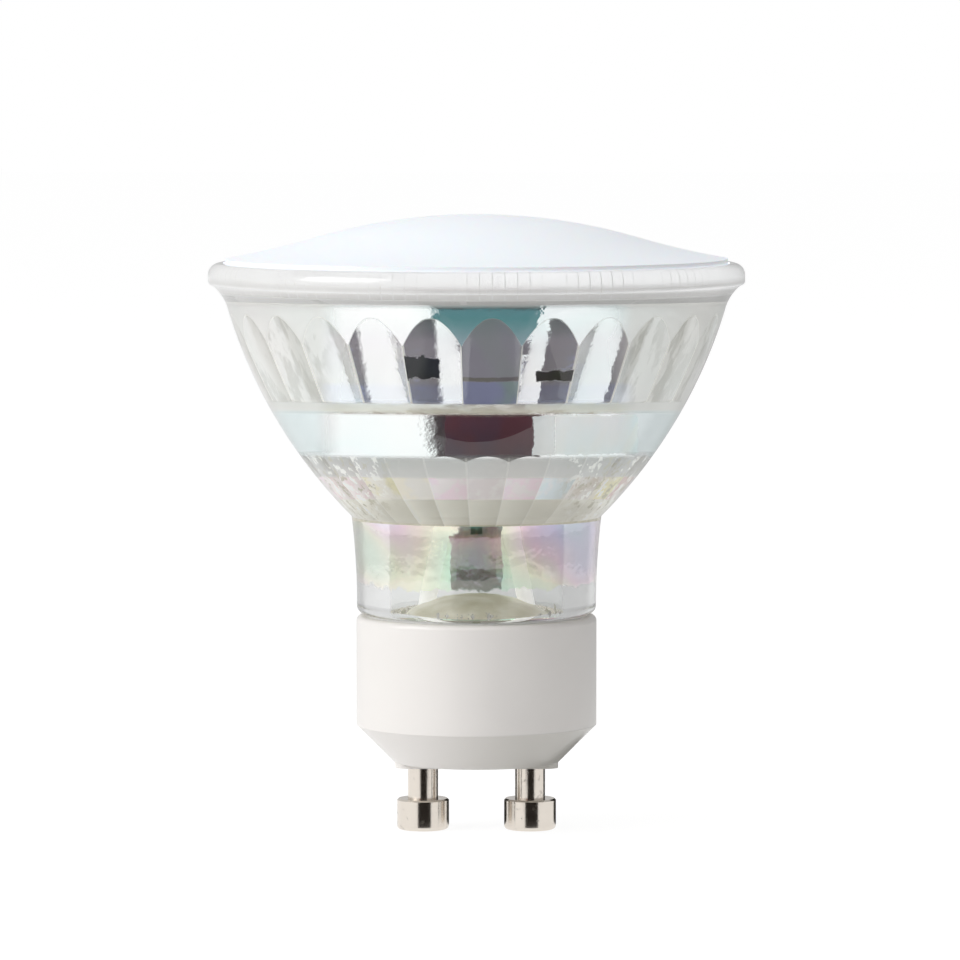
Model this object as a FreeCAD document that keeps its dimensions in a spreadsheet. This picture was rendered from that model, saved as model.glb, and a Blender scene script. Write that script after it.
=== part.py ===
import FreeCAD, Part
import math
import os
import Sketcher

# Spotlight bulb with a two-pin twist-and-lock cap: a pressed glass reflector with 24 flutes,
# an opal dome cover, a white glazed base and two contact pins, and the lamp's electronics inside.
# Z runs up the lamp's axis, and z = 0 is the plane of the two pins' flat ends. Lengths in mm.

DRIVING = [
    # Contact pins
    ("pin_spacing", 10.0), ("pin_head_radius", 2.425), ("pin_head_length", 2.9),
    ("pin_shaft_radius", 1.415), ("pin_edge_round", 0.35), ("pin_head_chamfer", 0.15),
    ("pin_standout", 5.95), ("pin_collar_radius", 2.1), ("pin_collar_thickness", 0.5),
    ("pin_stub_length", 2.0), ("pin_bore_radius", 0.55), ("pin_bore_depth", 3.0),
    # Base
    ("base_radius", 11.2), ("base_wall", 1.2), ("base_floor", 2.0), ("foot_margin", 2.75),
    ("base_height", 13.65), ("base_edge_round", 0.5), ("boss_height", 0.5), ("boss_width", 5.6),
    ("boss_margin", 2.6), ("boss_corner", 1.2),
    # Glass reflector, outside
    ("glue_gap", 0.15), ("spigot_length", 7.6), ("spigot_clearance", 0.4), ("neck_inset", 0.05),
    ("neck_edge_round", 0.8), ("neck_flare", 0.5), ("neck_flare_radius", 70.0),
    ("neck_height", 9.15), ("bowl_height", 19.1), ("bowl_radius", 46.0), ("rim_undercut", 1.89),
    ("cove_height", 2.45), ("cove_radius", 4.3), ("bead_low_round", 0.35), ("bead_height", 0.55),
    ("bead_top_round", 1.1), ("rim_radius", 24.95),
    # Glass reflector, inside
    ("lip_wall", 1.4), ("lip_depth", 2.45), ("ledge_width", 2.43), ("neck_wall", 3.05),
    ("glass_wall", 2.75), ("band_height", 1.55), ("band_taper", 0.42), ("flute_height", 7.65),
    ("flute_radius", 11.3), ("flute_count", 24), ("flute_turn", 3.8), ("flute_relief", 0.6),
    ("relief_drop", 3.45), ("flute_runout", 0.65),
    ("ring_height", 0.9), ("ring_inset", 0.3), ("mirror_band_swell", 0.3),
    ("facet_row_height", 2.0), ("last_facet_height", 1.6), ("facet_runout", 1.0),
    ("facet_second_swell", 0.4), ("facet_third_swell", 0.3),
    ("throat_rise", 1.5), ("throat_height", 1.7), ("throat_round", 2.2),
    # Dome cover and its seal
    ("cover_clearance", 0.2), ("cover_wall", 1.2), ("dome_rise", 2.15), ("dome_crown_radius", 15.0),
    ("skirt_fall", 1.95), ("skirt_cove_radius", 75.0), ("skirt_height", 1.85),
    ("skirt_corner_drop", 1.02), ("seal_height", 1.2),
    # Board that carries the light-emitting packages
    ("led_board_thickness", 1.0), ("led_board_clearance", 0.35), ("led_length", 3.5),
    ("led_width", 2.8), ("led_height", 0.7), ("led_window_radius", 1.15), ("led_window_depth", 0.15),
    ("outer_led_count", 10), ("outer_led_circle", 13.5), ("inner_led_count", 5),
    ("inner_led_circle", 7.5), ("led_pin_radius", 0.35), ("led_pin_clearance", 0.1),
    ("led_pin_offset", 4.6), ("led_pin_overlap", 3.0), ("led_pin_protrusion", 0.8),
    # Driver board and the parts on it
    ("board_thickness", 1.0), ("board_edge_gap", 1.6), ("board_top_gap", 2.0), ("board_foot_drop", 0.8),
    ("lead_radius", 0.4), ("lead_bend", 1.0), ("lead_bore_gap", 0.2), ("lead_inset", 1.6),
    ("lead_lean", 11.0), ("lead_lean_round", 8.0), ("lead_lean_depth", 3.75),
    ("sleeve_wall", 0.4), ("sleeve_foot_gap", 0.2), ("sleeve_end_gap", 0.3), ("terminal_radius", 0.3),
    ("terminal_clearance", 0.05), ("solder_radius", 0.9), ("solder_tip_radius", 0.5),
    ("solder_height", 0.6),
    ("input_can_radius", 3.15), ("input_can_length", 12.0), ("input_can_gap", 0.4),
    ("input_lead_spacing", 2.5),
    ("output_can_radius", 2.5), ("output_can_length", 7.5), ("output_can_gap", 0.3),
    ("output_lead_spacing", 2.0), ("can_stand", 0.4), ("can_crimp_height", 1.2),
    ("can_crimp_depth", 0.35), ("can_edge_round", 0.4),
    ("drum_radius", 3.0), ("drum_waist_radius", 1.5), ("drum_length", 8.0), ("drum_flange", 1.1),
    ("drum_gap", 0.5), ("drum_lead_spacing", 4.0), ("winding_radius", 2.65),
    ("resistor_radius", 1.2), ("resistor_length", 5.6), ("resistor_end_round", 0.5),
    ("resistor_stand", 0.3), ("resistor_gap", 0.3), ("resistor_lead_reach", 1.6),
    ("resistor_lead_bend", 0.8), ("resistor_lead_radius", 0.3),
    ("chip_length", 4.9), ("chip_width", 3.9), ("chip_thickness", 1.45), ("chip_gap", 0.4),
    ("chip_leg_count", 4), ("chip_leg_pitch", 1.27),
    ("bridge_length", 4.7), ("bridge_width", 3.9), ("bridge_thickness", 2.3), ("bridge_gap", 0.3),
    ("bridge_leg_count", 2), ("bridge_leg_pitch", 2.5),
    ("leg_width", 0.45), ("leg_thickness", 0.22), ("leg_foot", 0.6), ("leg_spread", 1.05),
    ("package_stand", 0.1),
    ("diode_length", 4.2), ("diode_width", 2.6), ("diode_thickness", 2.1), ("diode_gap", 0.3),
    ("diode_tab_width", 1.4), ("diode_tab_thickness", 0.25),
    ("chip_resistor_length", 3.2), ("chip_resistor_width", 1.6), ("chip_resistor_thickness", 0.55),
    ("chip_resistor_offset", 4.9), ("chip_resistor_drop", 1.0), ("chip_resistor_pitch", 4.5),
    # Potting that closes the neck round the two leads
    ("potting_foot_gap", 0.5), ("potting_edge_drop", 0.6), ("potting_rise", 2.7),
]

DERIVED = [
    ("pin_offset", "=pin_spacing / 2"),
    ("base_bottom", "=pin_standout + boss_height"),
    ("base_top", "=base_bottom + base_height"),
    ("floor_top", "=base_bottom + base_floor"),
    ("cavity_radius", "=base_radius - base_wall"),
    ("foot_radius", "=pin_offset + foot_margin"),
    ("floor_radius", "=foot_radius + base_floor - base_wall * sqrt(2)"),
    ("cavity_chamfer_top", "=floor_top + cavity_radius - floor_radius"),
    ("chamfer_top", "=base_bottom + base_radius - foot_radius"),
    ("round_radius", "=base_radius - base_edge_round"),
    ("round_foot", "=base_top - base_edge_round"),
    ("boss_half_width", "=boss_width / 2"),
    ("boss_half_length", "=pin_offset + boss_margin"),
    ("boss_side_end", "=boss_half_width - boss_corner"),
    ("boss_long_end", "=boss_half_length - boss_corner"),
    ("pin_top", "=floor_top + pin_collar_thickness + pin_stub_length"),
    ("pin_bore_foot", "=pin_top - pin_bore_depth"),
    ("collar_top", "=floor_top + pin_collar_thickness"),
    ("head_round_radius", "=pin_head_radius - pin_edge_round"),
    ("head_chamfer_radius", "=pin_head_radius - pin_head_chamfer"),
    ("head_chamfer_foot", "=pin_head_length - pin_head_chamfer"),
    ("neck_radius", "=base_radius - neck_inset"),
    ("neck_bore", "=neck_radius - neck_wall"),
    ("board_width", "=2 * (neck_bore - board_edge_gap)"),
    ("shoulder", "=base_top + glue_gap"),
    ("spigot_foot", "=shoulder - spigot_length"),
    ("spigot_radius", "=cavity_radius - spigot_clearance"),
    ("neck_round_radius", "=neck_radius - neck_edge_round"),
    ("neck_round_top", "=shoulder + neck_edge_round"),
    ("neck_top", "=shoulder + neck_height"),
    ("bowl_foot_radius", "=neck_radius + neck_flare"),
    ("bowl_top", "=neck_top + bowl_height"),
    ("bowl_top_radius", "=rim_radius - rim_undercut"),
    ("cove_top", "=bowl_top + cove_height"),
    ("cove_top_radius", "=rim_radius - bead_low_round"),
    ("bead_foot", "=cove_top + bead_low_round"),
    ("bead_top", "=bead_foot + bead_height"),
    ("rim_top", "=bead_top + bead_top_round"),
    ("rim_top_radius", "=rim_radius - bead_top_round"),
    # The bowl's outside is one arc, and its inside follows that arc's centre at the wall's depth
    ("bowl_chord", "=sqrt((bowl_top_radius - bowl_foot_radius) ^ 2 + bowl_height ^ 2)"),
    ("bowl_apothem", "=sqrt(bowl_radius ^ 2 - bowl_chord ^ 2 / 4)"),
    ("bowl_centre_r",
     "=(bowl_top_radius + bowl_foot_radius) / 2 - bowl_apothem * bowl_height / bowl_chord"),
    ("bowl_centre_z", "=neck_top + bowl_height / 2"
                      " + bowl_apothem * (bowl_top_radius - bowl_foot_radius) / bowl_chord"),
    ("inner_radius", "=bowl_radius - glass_wall"),
    ("ledge", "=rim_top - lip_depth"),
    ("plunger_top", "=rim_top + lip_depth"),
    ("lip_bore", "=rim_radius - lip_wall"),
    ("ledge_radius", "=lip_bore - ledge_width"),
    ("band_radius", "=ledge_radius - band_taper"),
    ("flute_top", "=ledge - band_height"),
    ("flute_foot", "=flute_top - flute_height"),
    ("ring_foot", "=flute_foot - ring_height"),
    ("facet_foot", "=neck_top + throat_rise"),
    ("facet_third", "=facet_foot + last_facet_height"),
    ("facet_second", "=facet_third + facet_row_height"),
    ("facet_top", "=facet_second + facet_row_height"),
    ("mirror_band_height", "=ring_foot - facet_top"),
    ("throat_foot", "=facet_foot - throat_height"),
    ("flute_foot_radius", "=bowl_centre_r + sqrt(inner_radius ^ 2 - (flute_foot - bowl_centre_z) ^ 2)"),
    ("ring_foot_radius",
     "=bowl_centre_r + sqrt(inner_radius ^ 2 - (ring_foot - bowl_centre_z) ^ 2) - ring_inset"),
    ("facet_top_radius",
     "=bowl_centre_r + sqrt(inner_radius ^ 2 - (facet_top - bowl_centre_z) ^ 2) + mirror_band_swell"),
    ("facet_second_radius",
     "=bowl_centre_r + sqrt(inner_radius ^ 2 - (facet_second - bowl_centre_z) ^ 2) + facet_second_swell"),
    ("facet_third_radius",
     "=bowl_centre_r + sqrt(inner_radius ^ 2 - (facet_third - bowl_centre_z) ^ 2) + facet_third_swell"),
    ("facet_foot_radius", "=bowl_centre_r + sqrt(inner_radius ^ 2 - (facet_foot - bowl_centre_z) ^ 2)"),
    ("flute_slope", "=(band_radius - flute_foot_radius) / flute_height"),
    ("flute_cosine", "=1 / sqrt(1 + flute_slope ^ 2)"),
    ("flute_sine", "=flute_slope * flute_cosine"),
    ("relief_radius", "=flute_foot_radius + flute_relief"),
    ("relief_top", "=flute_top - relief_drop"),
    ("relief_top_radius", "=band_radius - band_taper * relief_drop / band_height"),
    ("band_slope", "=(ring_foot_radius - facet_top_radius) / mirror_band_height"),
    ("shelf_radius", "=facet_top_radius - band_slope * (facet_top - facet_foot)"),
    ("facet_slope", "=(facet_top_radius - facet_second_radius) / facet_row_height"),
    ("facet_out_radius", "=facet_top_radius + facet_slope * facet_runout"),
    ("facet_out_height", "=facet_top + facet_runout"),
    ("mill_foot", "=flute_foot - flute_runout"),
    ("mill_foot_radius", "=flute_foot_radius - flute_slope * flute_runout"),
    ("mill_axis_r", "=mill_foot_radius + flute_radius * flute_cosine"),
    ("mill_axis_z", "=mill_foot - flute_radius * flute_sine"),
    ("mill_length", "=(flute_height + 2 * flute_runout) / flute_cosine"),
    ("led_board_top", "=ledge + led_board_thickness"),
    ("led_board_radius", "=lip_bore - led_board_clearance"),
    ("cover_radius", "=lip_bore - cover_clearance"),
    ("cover_bore", "=cover_radius - cover_wall"),
    ("cover_edge", "=led_board_top + skirt_height"),
    ("crown_foot", "=cover_edge + skirt_fall"),
    ("crown_top", "=crown_foot + dome_rise"),
    ("crown_radius", "=(dome_crown_radius ^ 2 + dome_rise ^ 2) / (2 * dome_rise)"),
    ("crown_top_inner", "=crown_top - cover_wall"),
    ("crown_radius_inner", "=crown_radius - cover_wall"),
    ("crown_shift", "=cover_wall * dome_crown_radius / crown_radius"),
    ("crown_drop", "=cover_wall * sqrt(1 - (dome_crown_radius / crown_radius) ^ 2)"),
    ("crown_foot_radius_inner", "=dome_crown_radius - crown_shift"),
    ("crown_foot_inner", "=crown_foot - crown_drop"),
    ("cover_edge_inner", "=cover_edge - skirt_corner_drop"),
    ("seal_top", "=led_board_top + seal_height"),
    ("led_top", "=led_board_top + led_height"),
    ("led_half_length", "=led_length / 2"),
    ("led_half_width", "=led_width / 2"),
    ("board_half", "=board_thickness / 2"),
    ("board_half_width", "=board_width / 2"),
    ("board_foot", "=throat_foot - board_foot_drop"),
    ("board_top", "=ledge - board_top_gap"),
    ("led_pin_x", "=-board_half - led_pin_radius"),
    ("led_pin_foot", "=board_top - led_pin_overlap"),
    ("led_pin_length", "=led_board_top + led_pin_protrusion - led_pin_foot"),
    ("led_pin_hole", "=led_pin_radius + led_pin_clearance"),
    ("terminal_hole", "=terminal_radius + terminal_clearance"),
    ("input_lead_half", "=input_lead_spacing / 2"),
    ("output_lead_half", "=output_lead_spacing / 2"),
    ("drum_lead_half", "=drum_lead_spacing / 2"),
    ("potting_foot", "=spigot_foot + potting_foot_gap"),
    ("potting_edge", "=shoulder - potting_edge_drop"),
    ("potting_top", "=potting_edge + potting_rise"),
    ("potting_dome_radius", "=(neck_bore ^ 2 + potting_rise ^ 2) / (2 * potting_rise)"),
    # A lead rises from its pin, leans in towards the axis and turns level to meet the driver board
    ("lead_height", "=board_foot + lead_inset"),
    ("lead_foot", "=pin_bore_foot + lead_bore_gap"),
    ("lean_foot", "=potting_top - lead_lean_depth"),
    ("lean_start", "=lean_foot + lead_lean_round * sin(lead_lean)"),
    ("lean_start_x", "=pin_offset - lead_lean_round * (1 - cos(lead_lean))"),
    ("lean_end", "=lead_height - lead_bend * (1 - sin(lead_lean))"),
    ("lean_end_x", "=lean_start_x - (lean_end - lean_start) * tan(lead_lean)"),
    ("lead_level_x", "=lean_end_x - lead_bend * cos(lead_lean)"),
    ("sleeve_foot", "=pin_top + sleeve_foot_gap"),
    ("sleeve_end", "=lean_end - sleeve_end_gap"),
    ("sleeve_end_x", "=lean_end_x + sleeve_end_gap * tan(lead_lean)"),
    ("sleeve_radius", "=lead_radius + sleeve_wall"),
    # The parts on each face of the driver board stand one above the other from the lead upwards
    ("lead_side", "=lead_height + solder_radius"),
    ("resistor_height", "=lead_side + resistor_gap + resistor_radius"),
    ("bridge_height", "=resistor_height + resistor_radius + bridge_gap + bridge_length / 2"),
    ("diode_height", "=bridge_height + bridge_length / 2 + diode_gap + diode_width / 2"),
    ("input_can_height", "=diode_height + diode_width / 2 + input_can_gap + input_can_radius"),
    ("chip_height", "=lead_side + chip_gap + chip_length / 2"),
    ("output_can_height", "=chip_height + chip_length / 2 + output_can_gap + output_can_radius"),
    ("drum_height", "=output_can_height + output_can_radius + drum_gap + drum_radius"),
    ("chip_resistor_low", "=bridge_height - chip_resistor_drop"),
    ("chip_resistor_high", "=chip_resistor_low + chip_resistor_pitch"),
    ("resistor_lead_half", "=resistor_length / 2 + resistor_lead_reach"),
    ("resistor_axis", "=resistor_radius + resistor_stand"),
    ("resistor_bend_foot", "=resistor_axis - resistor_lead_bend"),
    ("resistor_bend_end", "=resistor_lead_half - resistor_lead_bend"),
    ("resistor_wire_end", "=resistor_length / 2 - resistor_end_round"),
]

# A moulded package's leg runs out at half its height, down, and flat along the board
for package in ("chip", "bridge"):
    DERIVED += [
        (package + "_leg_root", "=%s_width / 2 - leg_thickness" % package),
        (package + "_leg_knee", "=%s_width / 2 + leg_spread - leg_foot" % package),
        (package + "_leg_shin", "=%s_leg_knee + leg_thickness" % package),
        (package + "_leg_toe", "=%s_width / 2 + leg_spread" % package),
        (package + "_leg_low", "=%s_thickness / 2" % package),
        (package + "_leg_high", "=%s_leg_low + leg_thickness" % package),
    ]

FULL_TURN = 360.0
SHEET_TAG = "Dimensions."

doc = FreeCAD.newDocument("spotlight_bulb")
sheet = doc.addObject("Spreadsheet::Sheet", "Dimensions")
parts = []


def fill_sheet():
    """Writes the driving sizes as numbers and the worked-out sizes as formulas, each with an alias."""
    for row, (alias, entry) in enumerate(DRIVING + DERIVED, start=1):
        sheet.set("A%d" % row, alias)
        sheet.set("B%d" % row, str(entry))
        sheet.setAlias("B%d" % row, alias)
    doc.recompute()


def size(name):
    """The number behind an alias; a leading minus turns its sign."""
    if name == 0:
        return 0.0
    if name.startswith("-"):
        return -float(getattr(sheet, name[1:]))
    return float(getattr(sheet, name))


def cell(name):
    """The alias written as an expression."""
    if name.startswith("-"):
        return "-" + SHEET_TAG + name[1:]
    return SHEET_TAG + name


def bind(item, **expressions):
    """Binds properties to expressions; a double underscore stands for a dot."""
    for prop, expression in expressions.items():
        path = prop.replace("__", ".")
        item.setExpression("." + path if "." in path else path, expression)


def new_body(label):
    body = doc.addObject("PartDesign::Body", label)
    body.Label = label
    return body


def keep(item):
    """Marks a finished object as a sub-part to be written out."""
    parts.append(item)
    return item


def origin_part(body, role):
    return next(f for f in body.Origin.OriginFeatures if f.Role == role)


def sketch_on(body, role, name):
    sketch = body.newObject("Sketcher::SketchObject", name)
    sketch.AttachmentSupport = [(origin_part(body, role), "")]
    sketch.MapMode = "FlatFace"
    return sketch


def pin_down(sketch, edge, end, x, y):
    """Ties one end of an edge to the sketch's origin by its two named coordinates.

    A sketch numbers its own level axis -1 and its own upright axis -2.
    """
    for kind, axis, name in (("DistanceX", -2, x), ("DistanceY", -1, y)):
        if name == 0:
            sketch.addConstraint(Sketcher.Constraint("PointOnObject", edge, end, axis))
        else:
            index = sketch.addConstraint(Sketcher.Constraint(kind, -1, 1, edge, end, size(name)))
            sketch.setExpression("Constraints[%d]" % index, cell(name))


def arc_between(start, end, radius, left):
    """Arc of the given radius from start to end, with its centre left or right of the way there."""
    chord = end - start
    reach = math.sqrt(max(radius ** 2 - chord.Length ** 2 / 4, 0.0))
    across = FreeCAD.Vector(-chord.y, chord.x, 0).normalize()
    centre = (start + end) / 2 + across * (reach if left else -reach)
    first, last = (start, end) if left else (end, start)
    angles = [math.atan2(p.y - centre.y, p.x - centre.x) for p in (first, last)]
    circle = Part.Circle(centre, FreeCAD.Vector(0, 0, 1), radius)
    return Part.ArcOfCircle(circle, angles[0], angles[1])


def outline(sketch, corners, arcs=None, closed=True):
    """Edges from corner to corner; arcs maps an edge's number to (radius name, side of its centre)."""
    arcs = arcs or {}
    points = [FreeCAD.Vector(size(x), size(y), 0) for x, y in corners]
    count = len(points) if closed else len(points) - 1
    ends = []
    for i in range(count):
        start, end = points[i], points[(i + 1) % len(points)]
        if i in arcs:
            radius, side = arcs[i]
            edge = sketch.addGeometry(arc_between(start, end, size(radius), side == "left"))
            index = sketch.addConstraint(Sketcher.Constraint("Radius", edge, size(radius)))
            sketch.setExpression("Constraints[%d]" % index, cell(radius))
            ends.append((edge, 1, 2) if side == "left" else (edge, 2, 1))
        else:
            edge = sketch.addGeometry(Part.LineSegment(start, end))
            ends.append((edge, 1, 2))
    for i in range(count if closed else count - 1):
        edge, _, last = ends[i]
        following, first, _ = ends[(i + 1) % count]
        sketch.addConstraint(Sketcher.Constraint("Coincident", edge, last, following, first))
    for i in range(count):
        pin_down(sketch, ends[i][0], ends[i][1], *corners[i])
    if not closed:
        pin_down(sketch, ends[-1][0], ends[-1][2], *corners[-1])
    return ends


def circle(sketch, x, y, radius):
    """Circle with a named centre and radius."""
    centre = FreeCAD.Vector(size(x), size(y), 0)
    edge = sketch.addGeometry(Part.Circle(centre, FreeCAD.Vector(0, 0, 1), size(radius)))
    index = sketch.addConstraint(Sketcher.Constraint("Radius", edge, size(radius)))
    sketch.setExpression("Constraints[%d]" % index, cell(radius))
    pin_down(sketch, edge, 3, x, y)


def rectangle(sketch, x0, y0, x1, y1):
    return outline(sketch, [(x0, y0), (x1, y0), (x1, y1), (x0, y1)])


def revolve(body, sketch, name="turned", groove=False, axis="V_Axis"):
    feature = body.newObject("PartDesign::Groove" if groove else "PartDesign::Revolution", name)
    feature.Profile = sketch
    feature.ReferenceAxis = (sketch, [axis])
    feature.Angle = FULL_TURN
    return feature


def pad(body, sketch, length, name="pad", symmetric=False, reverse=False):
    feature = body.newObject("PartDesign::Pad", name)
    feature.Profile = sketch
    feature.SideType = "Symmetric" if symmetric else "One side"
    feature.Reversed = reverse
    feature.setExpression("Length", length)
    return feature


def cut_through(body, sketch, name="cut"):
    """Cuts a sketch's outline through the whole solid, on both sides of its plane."""
    feature = body.newObject("PartDesign::Pocket", name)
    feature.Profile = sketch
    feature.Type = "ThroughAll"
    feature.SideType = "Symmetric"
    return feature


def cut_wide(body, sketch, width, name="cut"):
    """Cuts a sketch's outline to a total width centred on its plane."""
    feature = body.newObject("PartDesign::Pocket", name)
    feature.Profile = sketch
    feature.SideType = "Symmetric"
    feature.setExpression("Length", width)
    return feature


def around(body, features, count, name="round_pattern"):
    pattern = body.newObject("PartDesign::PolarPattern", name)
    pattern.Originals = features
    pattern.Axis = (origin_part(body, "Z_Axis"), [""])
    pattern.Angle = FULL_TURN
    pattern.setExpression("Occurrences", count)
    body.Tip = pattern
    return pattern


def lift(sketch, height):
    """Moves a sketch along its plane's normal."""
    sketch.setExpression(".AttachmentOffset.Base.z", height)


def dome_cover():
    body = new_body("dome_cover")
    sketch = sketch_on(body, "XZ_Plane", "cover_section")
    outline(sketch, [
        ("cover_bore", "led_board_top"), ("cover_radius", "led_board_top"),
        ("cover_radius", "cover_edge"), ("dome_crown_radius", "crown_foot"), (0, "crown_top"),
        (0, "crown_top_inner"), ("crown_foot_radius_inner", "crown_foot_inner"),
        ("cover_bore", "cover_edge_inner"),
    ], {2: ("skirt_cove_radius", "right"), 3: ("crown_radius", "left"),
        5: ("crown_radius_inner", "right"), 6: ("skirt_cove_radius", "left")})
    revolve(body, sketch)
    return keep(body)


def rim_sealant():
    body = new_body("rim_sealant")
    sketch = sketch_on(body, "XZ_Plane", "seal_section")
    outline(sketch, [
        ("led_board_radius", "ledge"), ("lip_bore", "ledge"), ("lip_bore", "seal_top"),
        ("cover_radius", "seal_top"), ("cover_radius", "led_board_top"),
        ("led_board_radius", "led_board_top"),
    ])
    revolve(body, sketch)
    return keep(body)


def glass_blank():
    """The pressed reflector's outside as a full solid."""
    body = new_body("glass_blank")
    sketch = sketch_on(body, "XZ_Plane", "glass_outline")
    outline(sketch, [
        (0, "spigot_foot"), ("spigot_radius", "spigot_foot"), ("spigot_radius", "shoulder"),
        ("neck_round_radius", "shoulder"), ("neck_radius", "neck_round_top"),
        ("bowl_foot_radius", "neck_top"), ("bowl_top_radius", "bowl_top"),
        ("cove_top_radius", "cove_top"), ("rim_radius", "bead_foot"), ("rim_radius", "bead_top"),
        ("rim_top_radius", "rim_top"), (0, "rim_top"),
    ], {3: ("neck_edge_round", "left"), 4: ("neck_flare_radius", "right"), 5: ("bowl_radius", "left"),
        6: ("cove_radius", "right"), 7: ("bead_low_round", "left"), 9: ("bead_top_round", "left")})
    revolve(body, sketch)
    return body


def plunger():
    """The press tool that leaves the reflector's inside: turned, then milled with flutes and facets."""
    body = new_body("plunger")
    sketch = sketch_on(body, "XZ_Plane", "plunger_section")
    outline(sketch, [
        (0, "floor_top"), ("neck_bore", "floor_top"), ("neck_bore", "throat_foot"),
        ("facet_foot_radius", "facet_foot"), ("shelf_radius", "facet_foot"),
        ("ring_foot_radius", "ring_foot"), ("flute_foot_radius", "flute_foot"),
        ("relief_radius", "flute_foot"), ("relief_top_radius", "relief_top"), ("ledge_radius", "ledge"),
        ("lip_bore", "ledge"), ("lip_bore", "plunger_top"), (0, "plunger_top"),
    ], {2: ("throat_round", "right")})
    turned = revolve(body, sketch)
    body.Tip = turned
    mill = body.newObject("PartDesign::SubtractiveCylinder", "flute_mill")
    mill.AttachmentSupport = [(origin_part(body, "XY_Plane"), "")]
    mill.MapMode = "FlatFace"
    mill.AttachmentOffset = FreeCAD.Placement(
        FreeCAD.Vector(size("mill_axis_r"), 0, size("mill_axis_z")),
        FreeCAD.Rotation(FreeCAD.Vector(0, 1, 0), math.degrees(math.atan(size("flute_slope")))))
    bind(mill, AttachmentOffset__Base__x="Dimensions.mill_axis_r",
         AttachmentOffset__Base__z="Dimensions.mill_axis_z",
         AttachmentOffset__Rotation__Angle="atan(Dimensions.flute_slope)",
         Radius="Dimensions.flute_radius", Height="Dimensions.mill_length")
    around(body, [mill], "Dimensions.flute_count", "flutes")
    facets = sketch_on(body, "XZ_Plane", "facet_section")
    outline(facets, [
        ("facet_foot_radius", "facet_foot"), ("rim_radius", "facet_foot"),
        ("rim_radius", "facet_out_height"), ("facet_out_radius", "facet_out_height"),
        ("facet_top_radius", "facet_top"), ("facet_second_radius", "facet_second"),
        ("facet_third_radius", "facet_third"),
    ])
    milled = cut_wide(body, facets, "Dimensions.facet_top_radius / 2", "facet_mill")
    around(body, [milled], "Dimensions.flute_count", "facets")
    bind(body, Placement__Rotation__Angle="Dimensions.flute_turn - 90")
    return body


def glass_reflector():
    cup = doc.addObject("Part::Cut", "glass_reflector")
    cup.Base = glass_blank()
    cup.Tool = plunger()
    return keep(cup)


def base_housing():
    body = new_body("base_housing")
    sketch = sketch_on(body, "XZ_Plane", "base_section")
    outline(sketch, [
        (0, "base_bottom"), ("foot_radius", "base_bottom"), ("base_radius", "chamfer_top"),
        ("base_radius", "round_foot"), ("round_radius", "base_top"), ("cavity_radius", "base_top"),
        ("cavity_radius", "cavity_chamfer_top"), ("floor_radius", "floor_top"), (0, "floor_top"),
    ], {3: ("base_edge_round", "left")})
    revolve(body, sketch)
    boss = sketch_on(body, "XY_Plane", "boss_outline")
    outline(boss, [
        ("-boss_long_end", "-boss_half_width"), ("boss_long_end", "-boss_half_width"),
        ("boss_half_length", "-boss_side_end"), ("boss_half_length", "boss_side_end"),
        ("boss_long_end", "boss_half_width"), ("-boss_long_end", "boss_half_width"),
        ("-boss_half_length", "boss_side_end"), ("-boss_half_length", "-boss_side_end"),
    ], {corner: ("boss_corner", "left") for corner in (1, 3, 5, 7)})
    lift(boss, "Dimensions.pin_standout")
    pad(body, boss, "Dimensions.boss_height", "boss")
    holes = sketch_on(body, "XY_Plane", "pin_holes")
    for side in ("", "-"):
        circle(holes, side + "pin_offset", 0, "pin_shaft_radius")
    cut_through(body, holes, "pin_holes")
    return keep(body)


def contact_pin(label, side):
    body = new_body(label)
    sketch = sketch_on(body, "XZ_Plane", "pin_section")
    outline(sketch, [
        (0, 0), ("head_round_radius", 0), ("pin_head_radius", "pin_edge_round"),
        ("pin_head_radius", "head_chamfer_foot"), ("head_chamfer_radius", "pin_head_length"),
        ("pin_shaft_radius", "pin_head_length"), ("pin_shaft_radius", "floor_top"),
        ("pin_collar_radius", "floor_top"), ("pin_collar_radius", "collar_top"),
        ("pin_shaft_radius", "collar_top"), ("pin_shaft_radius", "pin_top"),
        ("pin_bore_radius", "pin_top"), ("pin_bore_radius", "pin_bore_foot"), (0, "pin_bore_foot"),
    ], {1: ("pin_edge_round", "left")})
    revolve(body, sketch)
    bind(body, Placement__Base__x="%sDimensions.pin_offset" % side)
    return keep(body)


def base_adhesive():
    body = new_body("base_adhesive")
    sketch = sketch_on(body, "XZ_Plane", "adhesive_section")
    outline(sketch, [
        ("spigot_radius", "spigot_foot"), ("cavity_radius", "spigot_foot"),
        ("cavity_radius", "base_top"), ("neck_round_radius", "base_top"),
        ("neck_round_radius", "shoulder"), ("spigot_radius", "shoulder"),
    ])
    revolve(body, sketch)
    return keep(body)


def neck_potting():
    body = new_body("neck_potting")
    sketch = sketch_on(body, "XZ_Plane", "potting_section")
    outline(sketch, [
        (0, "potting_foot"), ("neck_bore", "potting_foot"), ("neck_bore", "potting_edge"),
        (0, "potting_top"),
    ], {2: ("potting_dome_radius", "left")})
    revolve(body, sketch)
    for side in ("", "-"):
        sweep_lead(body, side, ["sleeve_radius"], "PartDesign::SubtractivePipe", "lead_channel")
    return keep(body)


def led_board():
    body = new_body("led_board")
    sketch = sketch_on(body, "XY_Plane", "board_disc")
    circle(sketch, 0, 0, "led_board_radius")
    for side in ("", "-"):
        circle(sketch, "led_pin_x", side + "led_pin_offset", "led_pin_hole")
    lift(sketch, "Dimensions.ledge")
    pad(body, sketch, "Dimensions.led_board_thickness", "disc")
    return keep(body)


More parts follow.
